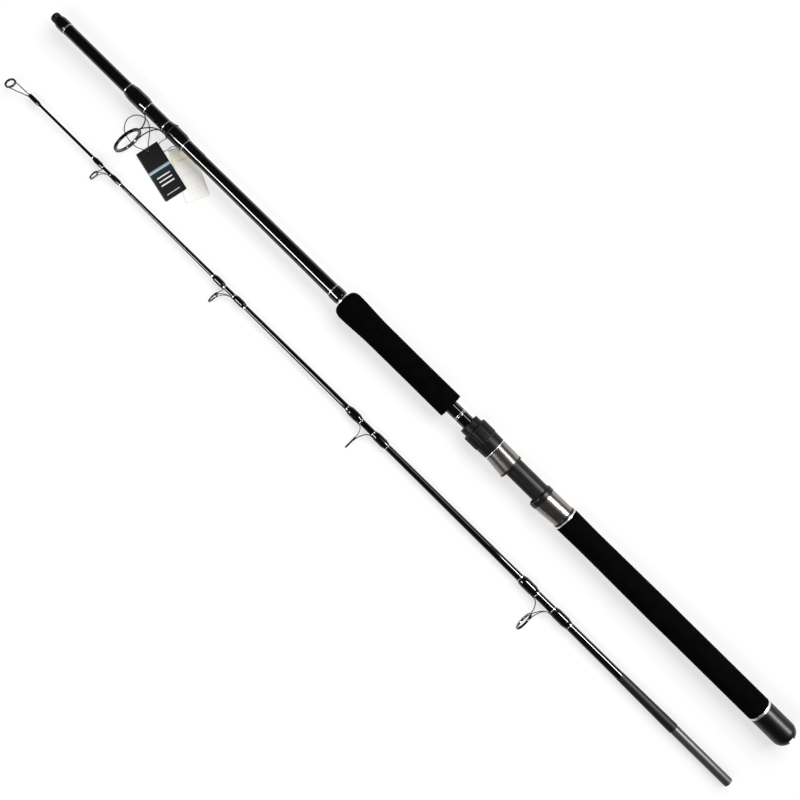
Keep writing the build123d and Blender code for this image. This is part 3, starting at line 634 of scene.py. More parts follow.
# Ferrule plug: a moulded stopper of black nylon, whose stem fits the socket and keeps grit out.
# Its head has three shallow grooves for the fingers and a rounded end.
plug_start, plug_end, plug_r = span("ferrule_plug")
plug_nose = 0.003
plug_neck_r = 0.0050
plug_neck_long = 0.0018
stem_r = 0.0064
stem_bevel_long = 0.001
stem_bevel_deep = 0.0005
groove_in = 0.0008
groove_pitch = 0.0015
groove_edge = 0.0003
groove_deep = 0.0003
head_start = sleeve_end + plug_neck_long
plug_outline = [
    (plug_start, 0),
    (plug_start, stem_r - stem_bevel_deep),
    (plug_start + stem_bevel_long, stem_r),
    (sleeve_end, stem_r),
    (sleeve_end, plug_neck_r),
    (head_start, plug_neck_r),
    (head_start, plug_r),
]
for groove in range(3):
    groove_at = head_start + groove_in + groove * groove_pitch
    for step, deep in enumerate((0, groove_deep, groove_deep, 0)):
        plug_outline.append((groove_at + step * groove_edge, plug_r - deep))
plug_outline += rounded_nose(plug_end - plug_nose, plug_end, plug_r, plug_r - plug_nose, steps=8)
plug_outline.append((plug_end, 0))
plug = turned("ferrule_stopper", butt, plug_outline)
dress(plug, "dust_plug", black_nylon, "black_plastic", "ferrule_plug")

# Tip blank: a long graphite taper with the same gloss dip. Its male end is left undipped and sanded
# to fit the socket, so it is a dull grey; a matte tape flare covers the step in front of it. The
# sanding marks are drawn at 1.2 mm so that they show; the paper's own are finer.
sanding_pitch = 0.0012
sanded, tree, place = new_material("sanded_graphite")
sanding = add_node(
    tree,
    "TexWave",
    {"Vector": place, "Scale": wave_spacing / sanding_pitch, "Distortion": 2.5, "Detail": 3.0},
    bands_direction="X",
)
sanded_tint = add_node(
    tree, "ValToRGB", {"Fac": sanding.outputs["Fac"]}, stops=((0.2, "#211f1e"), (0.8, "#2d2a29"))
)
sanded_bump = add_node(
    tree, "Bump", {"Height": sanding.outputs["Fac"], "Strength": 0.2, "Distance": fine_relief}
)
surface(
    tree,
    {
        "Base Color": sanded_tint.outputs["Color"],
        "Roughness": 0.44,
        "Specular IOR Level": 0.65,
        "Normal": sanded_bump.outputs["Normal"],
    },
)

tip = section_axis("tip_blank", "guide_1_ring")
tip_start, tip_end, male_r = span("tip_blank")
flare_start, flare_end, flare_r = span("flare_wrap")
male_wall = 0.0015
male_bore_r = male_r - male_wall
taper_r = 0.00585
thin_in = 1.110
thin_at = tip_start + thin_in
thin_r = 0.0019
tip_end_r = 0.00165


def tip_radius(station):
    """Radius of the tip blank along its taper."""
    share = (station - flare_end) / (thin_at - flare_end)
    return taper_r + (thin_r - taper_r) * share


male_outline = plain_ring(tip_start, flare_start, male_bore_r, male_r)
male_end = turned("male_ferrule", tip, eased(male_outline))
dress(male_end, "tip_section", sanded, "gloss_graphite", "tip_blank")
tip_tube = turned(
    "tip_tube",
    tip,
    [
        (flare_start, 0),
        (flare_start, male_r),
        (flare_end, taper_r),
        (thin_at, thin_r),
        (tip_end, tip_end_r),
        (tip_end, 0),
    ],
)
dress(tip_tube, "tip_section", graphite, "gloss_graphite", "tip_blank")

# The flare's tape has no epoxy over it, so it is a flat black with a soft edge at each lap.
lap_pitch = 0.004
matte_tape, tree, place = new_material("matte_wound_tape")
tape_laps = add_node(
    tree,
    "TexWave",
    {"Vector": place, "Scale": wave_spacing / lap_pitch, "Distortion": 0.5},
    bands_direction="X",
)
matte_tint = add_node(
    tree, "ValToRGB", {"Fac": tape_laps.outputs["Fac"]}, stops=((0.1, "#070707"), (0.9, "#0d0d0c"))
)
matte_bump = add_node(
    tree, "Bump", {"Height": tape_laps.outputs["Fac"], "Strength": 0.25, "Distance": fine_relief}
)
surface(
    tree,
    {
        "Base Color": matte_tint.outputs["Color"],
        "Roughness": 0.5,
        "Specular IOR Level": 0.2,
        "Normal": matte_bump.outputs["Normal"],
    },
)
flare_lip = 0.0001
flare_outline = [
    (flare_start, male_r),
    (flare_start, flare_r),
    (flare_end, taper_r + flare_lip),
    (flare_end, taper_r),
]
flare = turned("flare_tape", tip, eased(flare_outline))
dress(flare, "tip_section", matte_tape, "matte_wrap", "flare_wrap")

# Guides: frames bent from steel strip, ground and plated black, each with a polished ceramic ring
# pressed into its rim. Two feet lie on the blank under wraps, and the rear leg is split in two.
# The plating is a dark mirror, a little uneven where it was polished by hand.
polish_wide = 0.002
frame_steel, tree, place = new_material("black_plated_steel")
polish = add_node(tree, "TexNoise", {"Vector": place, "Scale": 1 / polish_wide, "Detail": 3.0})
plate_sheen = add_node(tree, "MapRange", {"Value": polish.outputs["Fac"], "To Min": 0.12, "To Max": 0.24})
plate_tint = add_node(
    tree, "ValToRGB", {"Fac": polish.outputs["Fac"]}, stops=((0.3, "#1a1a1c"), (0.7, "#262628"))
)
surface(
    tree,
    {
        "Base Color": plate_tint.outputs["Color"],
        "Metallic": 1.0,
        "Roughness": plate_sheen.outputs["Result"],
    },
)

# The ceramic is lapped until it looks wet. Its grain is drawn at 0.8 mm, far coarser than it is.
grit_wide = 0.0008
ceramic, tree, place = new_material("polished_black_ceramic")
grit = add_node(tree, "TexNoise", {"Vector": place, "Scale": 1 / grit_wide, "Detail": 2.0})
ceramic_tint = add_node(
    tree, "ValToRGB", {"Fac": grit.outputs["Fac"]}, stops=((0.3, "#0a0a0b"), (0.7, "#111113"))
)
surface(tree, {"Base Color": ceramic_tint.outputs["Color"], "Roughness": 0.1, "IOR": 2.1})


def add_strip(mesh, points, sizes, broad, around=12, closed=False):
    """Add a rounded strip along points, each with its (width, thickness); broad is the width's way."""
    rings = []
    last = len(points) - 1
    for place, (point, (width, thick)) in enumerate(zip(points, sizes)):
        ahead = points[(place + 1) % len(points) if closed else min(place + 1, last)]
        behind = points[place - 1 if closed else max(place - 1, 0)]
        forward = (ahead - behind).normalized()
        wide_way = (broad - forward * broad.dot(forward)).normalized()
        thick_way = forward.cross(wide_way)
        ring = []
        for step in range(around):
            angle = 2 * pi * step / around
            ring.append(
                mesh.verts.new(
                    point + wide_way * (cos(angle) * width / 2) + thick_way * (sin(angle) * thick / 2)
                )
            )
        rings.append(ring)
    for near, far in zip(rings, rings[1:] + (rings[:1] if closed else [])):
        for step in range(around):
            after = (step + 1) % around
            mesh.faces.new((near[step], near[after], far[after], far[step]))
    if not closed:
        mesh.faces.new(rings[0])
        mesh.faces.new(rings[-1])


def bent(start, start_pull, end_pull, end, samples=12):
    """Points of a smooth bend from start to end, drawn towards two pull points."""
    points = []
    for step in range(samples + 1):
        share = step / samples
        rest = 1 - share
        points.append(
            start * rest**3
            + start_pull * (3 * rest**2 * share)
            + end_pull * (3 * rest * share**2)
            + end * share**3
        )
    return points


def tapered(first, last, count):
    """Even run of (width, thickness) sizes from first to last."""
    return [
        tuple(a + (b - a) * place / (count - 1) for a, b in zip(first, last)) for place in range(count)
    ]


trim_long = 0.0015
foot_margin = 0.002
rim_ease = 0.4
ceramic_share = 0.9
ceramic_ease = 0.45
leg_bend = 0.5
leg_waist = 0.25
leg_flare = 1.1
guide_sizes = {
    "stripper": dict(
        lean=5.0, wrap_long=0.032, foot_wide=0.0052, foot_thick=0.0013, leg_wide=0.0034, rim=0.0019,
        ceramic=0.0022, rim_long=0.0032, cover=0.0005,
    ),
    "guide_1": dict(
        lean=0.0, wrap_long=0.027, foot_wide=0.0040, foot_thick=0.0011, leg_wide=0.0028, rim=0.0015,
        ceramic=0.0017, rim_long=0.0026, cover=0.00045,
    ),
    "guide_2": dict(
        lean=0.0, wrap_long=0.0225, foot_wide=0.0034, foot_thick=0.0010, leg_wide=0.0023, rim=0.0012,
        ceramic=0.0014, rim_long=0.0022, cover=0.0006,
    ),
    "guide_3": dict(
        lean=0.0, wrap_long=0.018, foot_wide=0.0028, foot_thick=0.0009, leg_wide=0.0020, rim=0.0011,
        ceramic=0.0013, rim_long=0.0020, cover=0.00035,
    ),
    "guide_4": dict(
        lean=0.0, wrap_long=0.0155, foot_wide=0.0024, foot_thick=0.0008, leg_wide=0.0017, rim=0.00095,
        ceramic=0.00115, rim_long=0.0018, cover=0.0003,
    ),
    "tiptop": dict(lean=15.0, rim=0.0012, ceramic=0.0013, rim_long=0.0020),
}


def ring_axis(name, section, lean):
    """Axis of a guide's ring, whose far edge leans towards the tip, and the ceramic's outside radius."""
    low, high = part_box(name + "_ring")
    _, along, out, across = section
    axis = along * cos(lean) - out * sin(lean)
    return ((low + high) / 2, axis, along * sin(lean) + out * cos(lean), across), (high.z - low.z) / 2


def add_rim(mesh, ring, ceramic_r, sizes):
    """Add the steel rim round a ceramic ring."""
    half = sizes["rim_long"] / 2
    rim = plain_ring(-half, half, ceramic_r, ceramic_r + sizes["rim"])
    add_turned(mesh, ring, eased(rim, rim_ease * sizes["rim"]), steps=72)


def ceramic_ring(name, ring, ceramic_r, sizes, body):
    """The polished ring that the line runs on: rounded all over, so that it has no edge."""
    half = ceramic_share * sizes["rim_long"] / 2
    outline = plain_ring(-half, half, ceramic_r - sizes["ceramic"], ceramic_r)
    piece = turned(name + "_ceramic", ring, eased(outline, ceramic_ease * sizes["ceramic"]), steps=72)
    dress(piece, body, ceramic, "ceramic", name + "_ring")


def guide_wire(name, section, ring, ceramic_r, rear, front, seat_r):
    """A guide's steel frame: its rim, two feet thinned at the toe, a front leg and a split rear leg."""
    sizes = guide_sizes[name]
    origin, along, out, across = section
    thick = sizes["foot_thick"]
    foot_size = (sizes["foot_wide"], thick)
    leg_size = (sizes["leg_wide"], thick)
    foot_y = seat_r + thick / 2
    rim_middle = ceramic_r + sizes["rim"] / 2
    rear_heel = rear[1] + foot_margin
    front_heel = front[0] - foot_margin
    mesh = bmesh.new()
    add_rim(mesh, ring, ceramic_r, sizes)
    for toe, heel, inset in ((rear[0], rear_heel, foot_margin), (front[1], front_heel, -foot_margin)):
        foot = [at(section, station, foot_y) for station in (toe + inset, toe + 3 * inset, heel)]
        add_strip(mesh, foot, [(foot_size[0] / 2, thick / 2), foot_size, foot_size], across)
    root = at(section, front_heel, foot_y)
    rim_end = ring[0] - ring[2] * rim_middle
    run = abs((rim_end - root).dot(along))
    rise = (rim_end - root).dot(out)
    leg = bent(root, root - along * (leg_bend * run), rim_end - out * (leg_bend * rise), rim_end)
    add_strip(mesh, leg, tapered(foot_size, leg_size, len(leg)), across)
    rise = (ring[0] - origin).dot(out) - foot_y
    for side in (-1, 1):
        root = at(section, rear_heel - thick, foot_y, side * sizes["leg_wide"] / 3)
        rim_end = ring[0] - ring[1] * (sizes["rim_long"] / 4) + across * (side * rim_middle)
        run = (rim_end - root).dot(along)
        rim_pull = rim_end - out * (leg_bend * rise) - across * (side * leg_waist * rim_middle)
        leg = bent(root, root + along * (leg_bend * run), rim_pull, rim_end)
        add_strip(mesh, leg, tapered(leg_size, (leg_flare * sizes["rim"], thick), len(leg)), across)
    return as_piece(name + "_wire", mesh, sharp=50)


def build_guide(name, section, body, seat_at):
    """One guide: frame, ring and wraps. Returns the start and the seat radius of each silver band."""
    sizes = guide_sizes[name]
    ring, ceramic_r = ring_axis(name, section, radians(sizes["lean"]))
    wraps_start, wraps_end, _ = span(name + "_wraps")
    rear = (wraps_start, wraps_start + sizes["wrap_long"])
    front = (wraps_end - sizes["wrap_long"], wraps_end)
    seat_r = seat_at(rear[0])
    wire = guide_wire(name, section, ring, ceramic_r, rear, front, seat_r)
    dress(wire, body, frame_steel, "guide_steel", name + "_frame")
    ceramic_ring(name, ring, ceramic_r, sizes, body)

    top_r = seat_r + sizes["foot_thick"] + sizes["cover"]
    winding = turned(
        name + "_windings",
        section,
        wrap_outline(*rear, seat_at(rear[0]), seat_at(rear[1]), top_r),
        wrap_outline(*front, seat_at(front[0]), seat_at(front[1]), top_r),
    )
    dress(winding, body, wrap, "epoxy_wrap", name + "_wraps")
    band_starts = (rear[0] - trim_long, rear[1], front[0] - trim_long, front[1])
    return [(start, seat_at(start)) for start in band_starts]


butt_bands = build_guide("stripper", butt, "butt_section", lambda station: underwrap_r)
tip_bands = []
for guide_name in ("guide_1", "guide_2", "guide_3", "guide_4"):
    tip_bands += build_guide(guide_name, tip, "tip_section", tip_radius)

# Silver bands: a few turns of metallic thread that finish each wrap, under the same epoxy, so they
# glint through a clear skin. A pair of them goes round the bare neck, half way along it.
band_ease = 0.00025
silver, tree, place = new_material("epoxied_metallic_thread")
silver_turns = add_node(
    tree,
    "TexWave",
    {"Vector": place, "Scale": wave_spacing / thread_pitch, "Distortion": 0.2},
    bands_direction="X",
)
silver_tint = add_node(
    tree, "ValToRGB", {"Fac": silver_turns.outputs["Fac"]}, stops=((0.2, "#8d8f93"), (0.8, "#d5d7da"))
)
surface(
    tree,
    {
        "Base Color": silver_tint.outputs["Color"],
        "Metallic": 1.0,
        "Roughness": 0.28,
        "Coat Weight": 1.0,
        "Coat Roughness": 0.06,
    },
)


def band_outline(start, end, seat_r):
    """Outline of a thread band that stands a little proud of what it is wound on."""
    return eased(plain_ring(start, end, seat_r - thin_edge, seat_r + thin_edge), band_ease)


butt_bands += [(grip_wrap_end, blank_r), (end_wrap_start - trim_long, sleeve_r)]
butt_trim = turned(
    "butt_silver_bands", butt, *[band_outline(start, start + trim_long, seat) for start, seat in butt_bands]
)
dress(butt_trim, "butt_section", silver, "silver_thread", "butt_trim_bands")
tip_trim = turned(
    "tip_silver_bands",
    tip,
    *[band_outline(start, start + trim_long, seat) for start, seat in tip_bands],
    steps=64,
)
dress(tip_trim, "tip_section", silver, "silver_thread", "tip_trim_bands")
neck_start, neck_end, _ = span("neck_ring")
neck_band_long = 0.001
neck_trim = turned(
    "neck_silver_bands",
    butt,
    band_outline(neck_start, neck_start + neck_band_long, blank_r),
    band_outline(neck_end - neck_band_long, neck_end, blank_r),
)
dress(neck_trim, "butt_section", silver, "silver_thread", "neck_ring")

# Tip-top: a short closed steel tube glued over the end of the blank, with two braces that carry the
# last ring, turned up from the guides' line. Plated black like the guides, with a wrap over the tube.
tiptop_sizes = guide_sizes["tiptop"]
tiptop_turn = radians(40)
top_out = tip[2] * cos(tiptop_turn) + tip[3] * sin(tiptop_turn)
tip_top = (tip[0], tip[1], top_out, tip[1].cross(top_out))
top_ring, _ = ring_axis("tiptop", tip_top, radians(tiptop_sizes["lean"]))
top_ceramic_r = 0.0062
tube_start, _, _ = span("tiptop_frame")
tube_r = 0.0023
tube_cap_long = 0.0025
tube_end = tip_end + tube_cap_long
brace_in = 0.0012
brace_root_size = (0.0015, 0.0012)
brace_rim_size = (0.0012, 0.0012)
brace_pulls = (0.35, 0.7)
brace_spread = 0.0006
mesh = bmesh.new()
add_rim(mesh, top_ring, top_ceramic_r, tiptop_sizes)
tube_outline = [
    (tube_start, tip_end_r),
    (tube_start, tube_r),
    (tube_end, tube_r),
    (tube_end, 0),
    (tip_end, 0),
    (tip_end, tip_end_r),
]
add_turned(mesh, tip, eased(tube_outline), steps=48)
for side in (-1, 1):
    root = at(tip_top, tube_end - brace_in, tube_r / 2, side * tube_r / 2)
    rim_side = top_ring[0] + tip_top[3] * (side * (top_ceramic_r + tiptop_sizes["rim"] / 2))
    root_pull, rim_pull = [root.lerp(rim_side, share) for share in brace_pulls]
    brace = bent(root, root_pull, rim_pull + tip_top[3] * (side * brace_spread), rim_side)
    add_strip(mesh, brace, tapered(brace_root_size, brace_rim_size, len(brace)), tip_top[3])
tiptop_wire = as_piece("tiptop_wire", mesh, sharp=50)
dress(tiptop_wire, "tip_section", frame_steel, "guide_steel", "tiptop_frame")
ceramic_ring("tiptop", top_ring, top_ceramic_r, tiptop_sizes, "tip_section")
tiptop_wrap_start, tiptop_wrap_end, tiptop_wrap_r = span("tiptop_wrap")
tiptop_winding = turned(
    "tiptop_winding",
    tip,
    wrap_outline(tiptop_wrap_start, tiptop_wrap_end, tip_end_r, tube_r, tiptop_wrap_r),
    steps=64,
)
dress(tiptop_winding, "tip_section", wrap, "epoxy_wrap", "tiptop_wrap")

# Card tags: die-cut board with a punched hole, one printed black on coated board and one of uncoated
# cream board. They lie on the floor under the stripper guide, the black one half on the cream one.
card_long = 0.0695
card_wide = 0.031
card_thick = 0.0004
corner_cut = 0.0004
hole_in = 0.004
hole_r = 0.0015
grid_step = 0.002
by_the_hole = 1.1 * grid_step
stripper_start, stripper_end, _ = span("stripper_ring")
tag_floor = Vector(((stripper_start + stripper_end) / 2, butt[0].y, 0))


def card_sheet(name, hole, turn, height):
    """Thin card with its hole at the origin of its own axes, bent to a height given by (along, across)."""
    near_end = Vector((cos(turn), sin(turn), 0))
    left = Vector((-sin(turn), cos(turn), 0))
    half_wide = card_wide / 2
    long_steps = int(card_long / grid_step)
    side_steps = int(half_wide / grid_step)
    rows = [hole_in - grid_step * step for step in range(long_steps + 1)] + [hole_in - card_long]
    columns = [grid_step * step for step in range(-side_steps, side_steps + 1)]
    columns = [-half_wide] + columns + [half_wide]
    mesh = bmesh.new()
    layer = mesh.loops.layers.uv.new("print")
    grid = {}
    for u in rows:
        for v in columns:
            spot = Vector((u, v))
            if 0 < max(abs(u), abs(v)) < by_the_hole:
                spot = spot.normalized() * hole_r
            if u in (rows[0], rows[-1]) and v in (columns[0], columns[-1]):
                spot -= Vector((1 if u == rows[0] else -1, 1 if v > 0 else -1)) * corner_cut
            lift = Vector((0, 0, hole.z + height((hole_in - spot.x) / card_long, spot.y / half_wide)))
            point = tag_floor + Vector((hole.x, hole.y, 0)) + near_end * spot.x + left * spot.y + lift
            grid[u, v] = mesh.verts.new(point)
    for u, next_u in zip(rows, rows[1:]):
        for v, next_v in zip(columns, columns[1:]):
            if max(abs(u + next_u), abs(v + next_v)) < by_the_hole:
                continue
            corners = ((u, v), (next_u, v), (next_u, next_v), (u, next_v))
            face = mesh.faces.new([grid[corner] for corner in corners])
            for loop, (u_at, v_at) in zip(face.loops, corners):
                loop[layer].uv = ((hole_in - u_at) / card_long, 0.5 + v_at / card_wide)
    piece = as_piece(name, mesh)
    if piece.data.polygons[0].normal.z < 0:
        piece.data.flip_normals()
    board = piece.modifiers.new("board", "SOLIDIFY")
    board.thickness = card_thick
    board.offset = 1
    return piece


def black_bend(along, across, edge_drop=0.0004, curl=0.0008):
    """The black card's left edge drops to the floor, and its far end curls up a little."""
    return -edge_drop * along * (1 + across) + curl * along**3


def cream_bend(along, _, curl=0.0010):
    """The cream card lies flat, with its far half curled up a little."""
    return curl * max(along - 0.5, 0) ** 2


def card_face(tree, place, ground, bars, margin, ink):
    """Colour of a card: a ground that changes along it, under bars of ink that stop at a side margin."""
    spot = add_node(tree, "SeparateXYZ", {"Vector": place.node.outputs["UV"]}).outputs
    bar_stops = [(0.0, "#000000")]
    for bar_start, bar_end, strength in bars:
        bar_stops += [(bar_start, strength), (bar_end, "#000000")]
    side_stops = ((0.0, "#000000"), (margin, "#ffffff"), (1 - margin, "#000000"))
    paint = add_node(tree, "ValToRGB", {"Fac": spot["X"]}, stops=ground)
    rows = add_node(tree, "ValToRGB", {"Fac": spot["X"]}, stops=bar_stops)
    sides = add_node(tree, "ValToRGB", {"Fac": spot["Y"]}, stops=side_stops)
    for ramp in (rows, sides):
        ramp.color_ramp.interpolation = "CONSTANT"
    inked = add_node(
        tree, "Math", {0: rows.outputs["Color"], 1: sides.outputs["Color"]}, operation="MULTIPLY"
    )
    face = add_node(
        tree,
        "MixRGB",
        {"Fac": inked.outputs["Value"], "Color1": paint.outputs["Color"], "Color2": linear(ink)},
    )
    return face.outputs["Color"]


# Coated board takes a half-gloss black, with a pale band and white bars.
black_board, tree, place = new_material("printed_black_board")
black_ground = (
    (0.0, "#060608"),
    (0.40, "#09090c"),
    (0.415, "#7f9aa6"),
    (0.45, "#b9cbd2"),
    (0.465, "#10262f"),
    (0.60, "#081216"),
    (0.72, "#050607"),
)
white_bars = (
    (0.56, 0.585, "#ffffff"),
    (0.635, 0.66, "#ffffff"),
    (0.71, 0.735, "#ffffff"),
    (0.90, 0.912, "#ffffff"),
)
black_face = card_face(tree, place, black_ground, white_bars, margin=0.2, ink="#e6e6e4")
surface(tree, {"Base Color": black_face, "Roughness": 0.35})

# Uncoated board is chalky, with a soft pulp and thin brown ink that sinks in.
pulp_wide = 0.0015
cream_board, tree, place = new_material("uncoated_cream_board")
cream_ground = ((0.0, "#fbfaf5"), (0.2, "#fbf3da"), (0.38, "#fbfaf5"), (1.0, "#f9f6f3"))
brown_bars = (
    (0.22, 0.25, "#8a8a8a"),
    (0.50, 0.52, "#5c5c5c"),
    (0.78, 0.80, "#5c5c5c"),
    (0.85, 0.87, "#5c5c5c"),
)
cream_face = card_face(tree, place, cream_ground, brown_bars, margin=0.22, ink="#a08a78")
pulp = add_node(tree, "TexNoise", {"Vector": place, "Scale": 1 / pulp_wide, "Detail": 4.0})
pulp_bump = add_node(
    tree, "Bump", {"Height": pulp.outputs["Fac"], "Strength": 0.2, "Distance": fine_relief}
)
surface(tree, {"Base Color": cream_face, "Roughness": 0.8, "Normal": pulp_bump.outputs["Normal"]})

black_hole = Vector((-0.0201, 0.0370, 0.0010))
black_turn = radians(-13.2)
cream_hole = Vector((-0.0471, 0.0081, 0.0001))
cream_turn = radians(-25.6)
black_card = card_sheet("black_card", black_hole, black_turn, black_bend)
dress(black_card, "butt_section", black_board, "black_card", "black_tag")
cream_card = card_sheet("cream_card", cream_hole, cream_turn, cream_bend)
dress(cream_card, "butt_section", cream_board, "cream_card", "cream_tag")

# Tag cord and string: thin black elastic, braided over rubber. The cord goes once through the stripper
# ring; the string runs from a loop round the rear wrap. Both end in a knot on a card's hole. The
# braid makes the black uneven and dull, and is drawn at 1.2 mm so that it shows.
braid_pitch = 0.0012
elastic, tree, place = new_material("braided_elastic")
braid = add_node(
    tree,
    "TexWave",
    {"Vector": place, "Scale": wave_spacing / braid_pitch, "Distortion": 1.5, "Detail": 2.0},
    bands_direction="DIAGONAL",
)
braid_tint = add_node(
    tree, "ValToRGB", {"Fac": braid.outputs["Fac"]}, stops=((0.2, "#050505"), (0.8, "#101011"))
)
braid_bump = add_node(
    tree, "Bump", {"Height": braid.outputs["Fac"], "Strength": 0.3, "Distance": fine_relief}
)
surface(
    tree,
    {
        "Base Color": braid_tint.outputs["Color"],
        "Roughness": 0.7,
        "Normal": braid_bump.outputs["Normal"],
    },
)


def limp_cord(name, diameter, points):
    """Cord drawn as one smooth line, with its route's points as control points."""
    curve = bpy.data.curves.new(name, "CURVE")
    curve.dimensions = "3D"
    line = curve.splines.new("NURBS")
    line.points.add(len(points) - 1)
    for control, point in zip(line.points, points):
        control.co = (*(tag_floor + Vector(point)), 1)
    line.order_u = 3
    line.use_endpoint_u = True
    line.resolution_u = 12
    curve.bevel_depth = diameter / 2
    curve.bevel_resolution = 5
    curve.use_fill_caps = True
    return new_object(name, curve)


def knot_turns(name, node, diameter, steps=72, swing=0.45):
    """Overhand knot, drawn tight: one cord wound through itself three times inside the node's box."""
    low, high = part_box(node)
    middle = (low + high) / 2
    turn_r = (high.x - low.x) / 4 - diameter / 8
    rise = (high.z - low.z) / 2 - diameter / 2
    points = []
    for step in range(steps):
        angle = 2 * pi * step / steps
        spread = turn_r * (1 + swing * cos(3 * angle))
        points.append(
            middle + Vector((spread * cos(2 * angle), spread * sin(2 * angle), rise * sin(3 * angle)))
        )
    mesh = bmesh.new()
    sizes = [(diameter, diameter)] * len(points)
    add_strip(mesh, points, sizes, Vector((0, 0, 1)), around=8, closed=True)
    return as_piece(name, mesh)


cord_d = 0.0011
knot_z = 0.0026
cord_points = [
    (-0.0201, 0.03645, knot_z),
    (-0.0140, 0.0302, 0.0023),
    (-0.0088, 0.0236, 0.0010),
    (-0.0024, 0.0159, 0.0007),
    (0.0064, 0.0106, 0.0008),
    (0.0160, 0.0114, 0.0007),
    (0.0233, 0.0173, 0.0008),
    (0.0266, 0.0266, 0.0007),
    (0.0226, 0.0358, 0.0014),
    (0.0146, 0.0416, 0.0052),
    (0.0050, 0.0439, 0.0082),
    (-0.0046, 0.0450, 0.0079),
    (-0.0122, 0.0426, 0.0044),
    (-0.01955, 0.03755, knot_z),
]
cord = limp_cord("tag_cord_line", cord_d, cord_points)
dress(cord, "butt_section", elastic, "elastic_cord", "tag_cord")
cord_knot = knot_turns("cord_knot_turns", "cord_knot", cord_d)
dress(cord_knot, "butt_section", elastic, "elastic_cord", "cord_knot")

string_d = 0.0008
loop_start, loop_end, loop_r = span("string_loop")
loop_at = (loop_start + loop_end) / 2
loop_middle_r = loop_r - string_d / 2
loop_turn = radians(-60.7)
string_start = Vector(
    (
        loop_at - tag_floor.x,
        loop_middle_r * cos(loop_turn),
        butt[0].z + loop_middle_r * sin(loop_turn),
    )
)
string_points = [
    string_start,
    (-0.0280, 0.0084, 0.0048),
    (-0.0251, 0.0130, 0.0018),
    (-0.0230, 0.0186, 0.0007),
    (-0.0240, 0.0246, 0.0005),
    (-0.0291, 0.0274, 0.0005),
    (-0.0344, 0.0247, 0.0005),
    (-0.0366, 0.0190, 0.0006),
    (-0.0370, 0.0129, 0.0012),
    (-0.0412, 0.0087, 0.0014),
    (-0.0471, 0.0081, 0.0013),
]
string = limp_cord("tag_string_line", string_d, string_points)
dress(string, "butt_section", elastic, "elastic_cord", "tag_string")
string_knot = knot_turns("string_knot_turns", "string_knot", string_d)
dress(string_knot, "butt_section", elastic, "elastic_cord", "string_knot")
loop_outline = []
loop_steps = 16
for step in range(loop_steps):
    turn = 2 * pi * step / loop_steps
    loop_outline.append((loop_at + string_d / 2 * cos(turn), loop_middle_r + string_d / 2 * sin(turn)))
string_loop = turned("string_loop_turn", butt, loop_outline)
dress(string_loop, "butt_section", elastic, "elastic_cord", "string_loop")

# Floor: a white paper sweep. Its own light, seen only by the camera and in reflections, lifts the
# lit paper to white, more so far from the lamps, and the lamps' soft shadows stay on it.
floor_half = 20.0
floor_low = -0.0002
lit_out_to = 0.8
lit_glow = 0.58
unlit_from = 2.6
unlit_glow = 0.97
paper, tree, place = new_material("white_paper_sweep")
rays = add_node(tree, "LightPath")
seen = add_node(
    tree,
    "Math",
    {0: rays.outputs["Is Camera Ray"], 1: rays.outputs["Is Glossy Ray"]},
    operation="ADD",
)
seen_through = add_node(
    tree,
    "Math",
    {0: seen.outputs["Value"], 1: rays.outputs["Is Transmission Ray"]},
    operation="ADD",
    use_clamp=True,
)
far_out = add_node(tree, "VectorMath", {0: place}, operation="LENGTH")
lift = add_node(
    tree,
    "MapRange",
    {
        "Value": far_out.outputs["Value"],
        "From Min": lit_out_to,
        "From Max": unlit_from,
        "To Min": lit_glow,
        "To Max": unlit_glow,
    },
    interpolation_type="SMOOTHSTEP",
)
paper_glow = add_node(
    tree, "Math", {0: seen_through.outputs["Value"], 1: lift.outputs["Result"]}, operation="MULTIPLY"
)
surface(
    tree,
    {
        "Base Color": linear("#b0b0b0"),
        "Roughness": 0.9,
        "Specular IOR Level": 0.0,
        "Emission Color": linear("#ffffff"),
        "Emission Strength": paper_glow.outputs["Value"],
    },
)
mesh = bmesh.new()
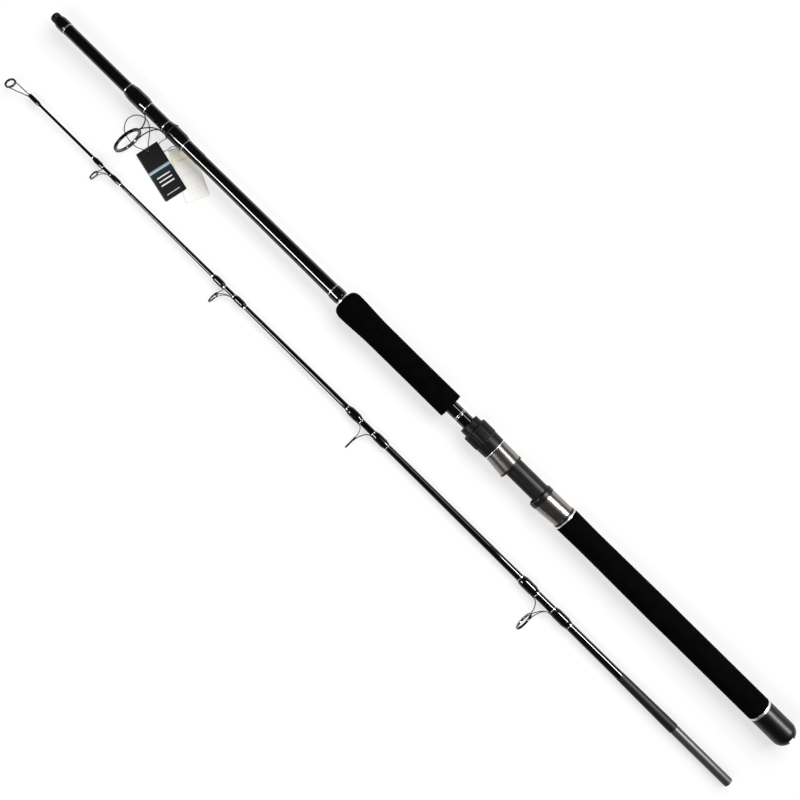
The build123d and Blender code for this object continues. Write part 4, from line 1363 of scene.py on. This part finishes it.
corners = ((-1, -1), (1, -1), (1, 1), (-1, 1))
mesh.faces.new([mesh.verts.new((floor_half * x, floor_half * y, floor_low)) for x, y in corners])
floor = as_piece("paper_floor", mesh)
floor.data.materials.append(paper)

# Studio: two wide softboxes light the rod from either side, the right one brighter. Narrow strips in
# front of them, each over its own stretch of the rod, show only as the lines in the gloss. The camera
# looks straight down.
softboxes = (
    ("left_softbox", 0.0, 0.95, 1.05, 1.8, 1.0, 14.0, False),
    ("right_softbox", 0.0, -0.99, 1.05, 1.8, 1.3, 30.0, False),
    ("left_strip", 0.47, 0.8, 0.9, 0.74, 0.28, 25.0, True),
    ("right_strip", -0.84, -0.85, 0.9, 0.8, 0.28, 44.0, True),
    ("hood_strip", -0.22, -0.85, 0.9, 0.36, 0.28, 2.4, True),
)
for name, x, y, z, softbox_long, softbox_wide, power, in_gloss in softboxes:
    lamp = bpy.data.lights.new(name, "AREA")
    lamp.shape = "RECTANGLE"
    lamp.size = softbox_long
    lamp.size_y = softbox_wide
    lamp.energy = power
    softbox = new_object(name, lamp)
    softbox.location = (x, y, z)
    softbox.rotation_euler = Vector((0, -y, -z)).to_track_quat("-Z", "Y").to_euler()
    softbox.visible_camera = False
    softbox.visible_diffuse = not in_gloss
    softbox.visible_glossy = in_gloss

room_strength = 0.06
world = bpy.data.worlds.new("room")
world.use_nodes = True
tree = world.node_tree
rays = add_node(tree, "LightPath")
room_light = add_node(
    tree, "MapRange", {"Value": rays.outputs["Is Camera Ray"], "To Min": room_strength, "To Max": 1.0}
)
fill(tree, tree.nodes["Background"], {"Color": linear("#ffffff"), "Strength": room_light.outputs["Result"]})
bpy.context.scene.world = world
bpy.context.scene.view_settings.view_transform = "Standard"

camera_high = 1.238
camera_turn = 224.54
lens = bpy.data.cameras.new("overhead")
lens.sensor_width = 36
lens.lens = 45
camera = new_object("overhead", lens)
camera.location = (0.0001, -0.0215, camera_high)
camera.rotation_euler = (0, 0, radians(camera_turn))
bpy.context.scene.camera = camera
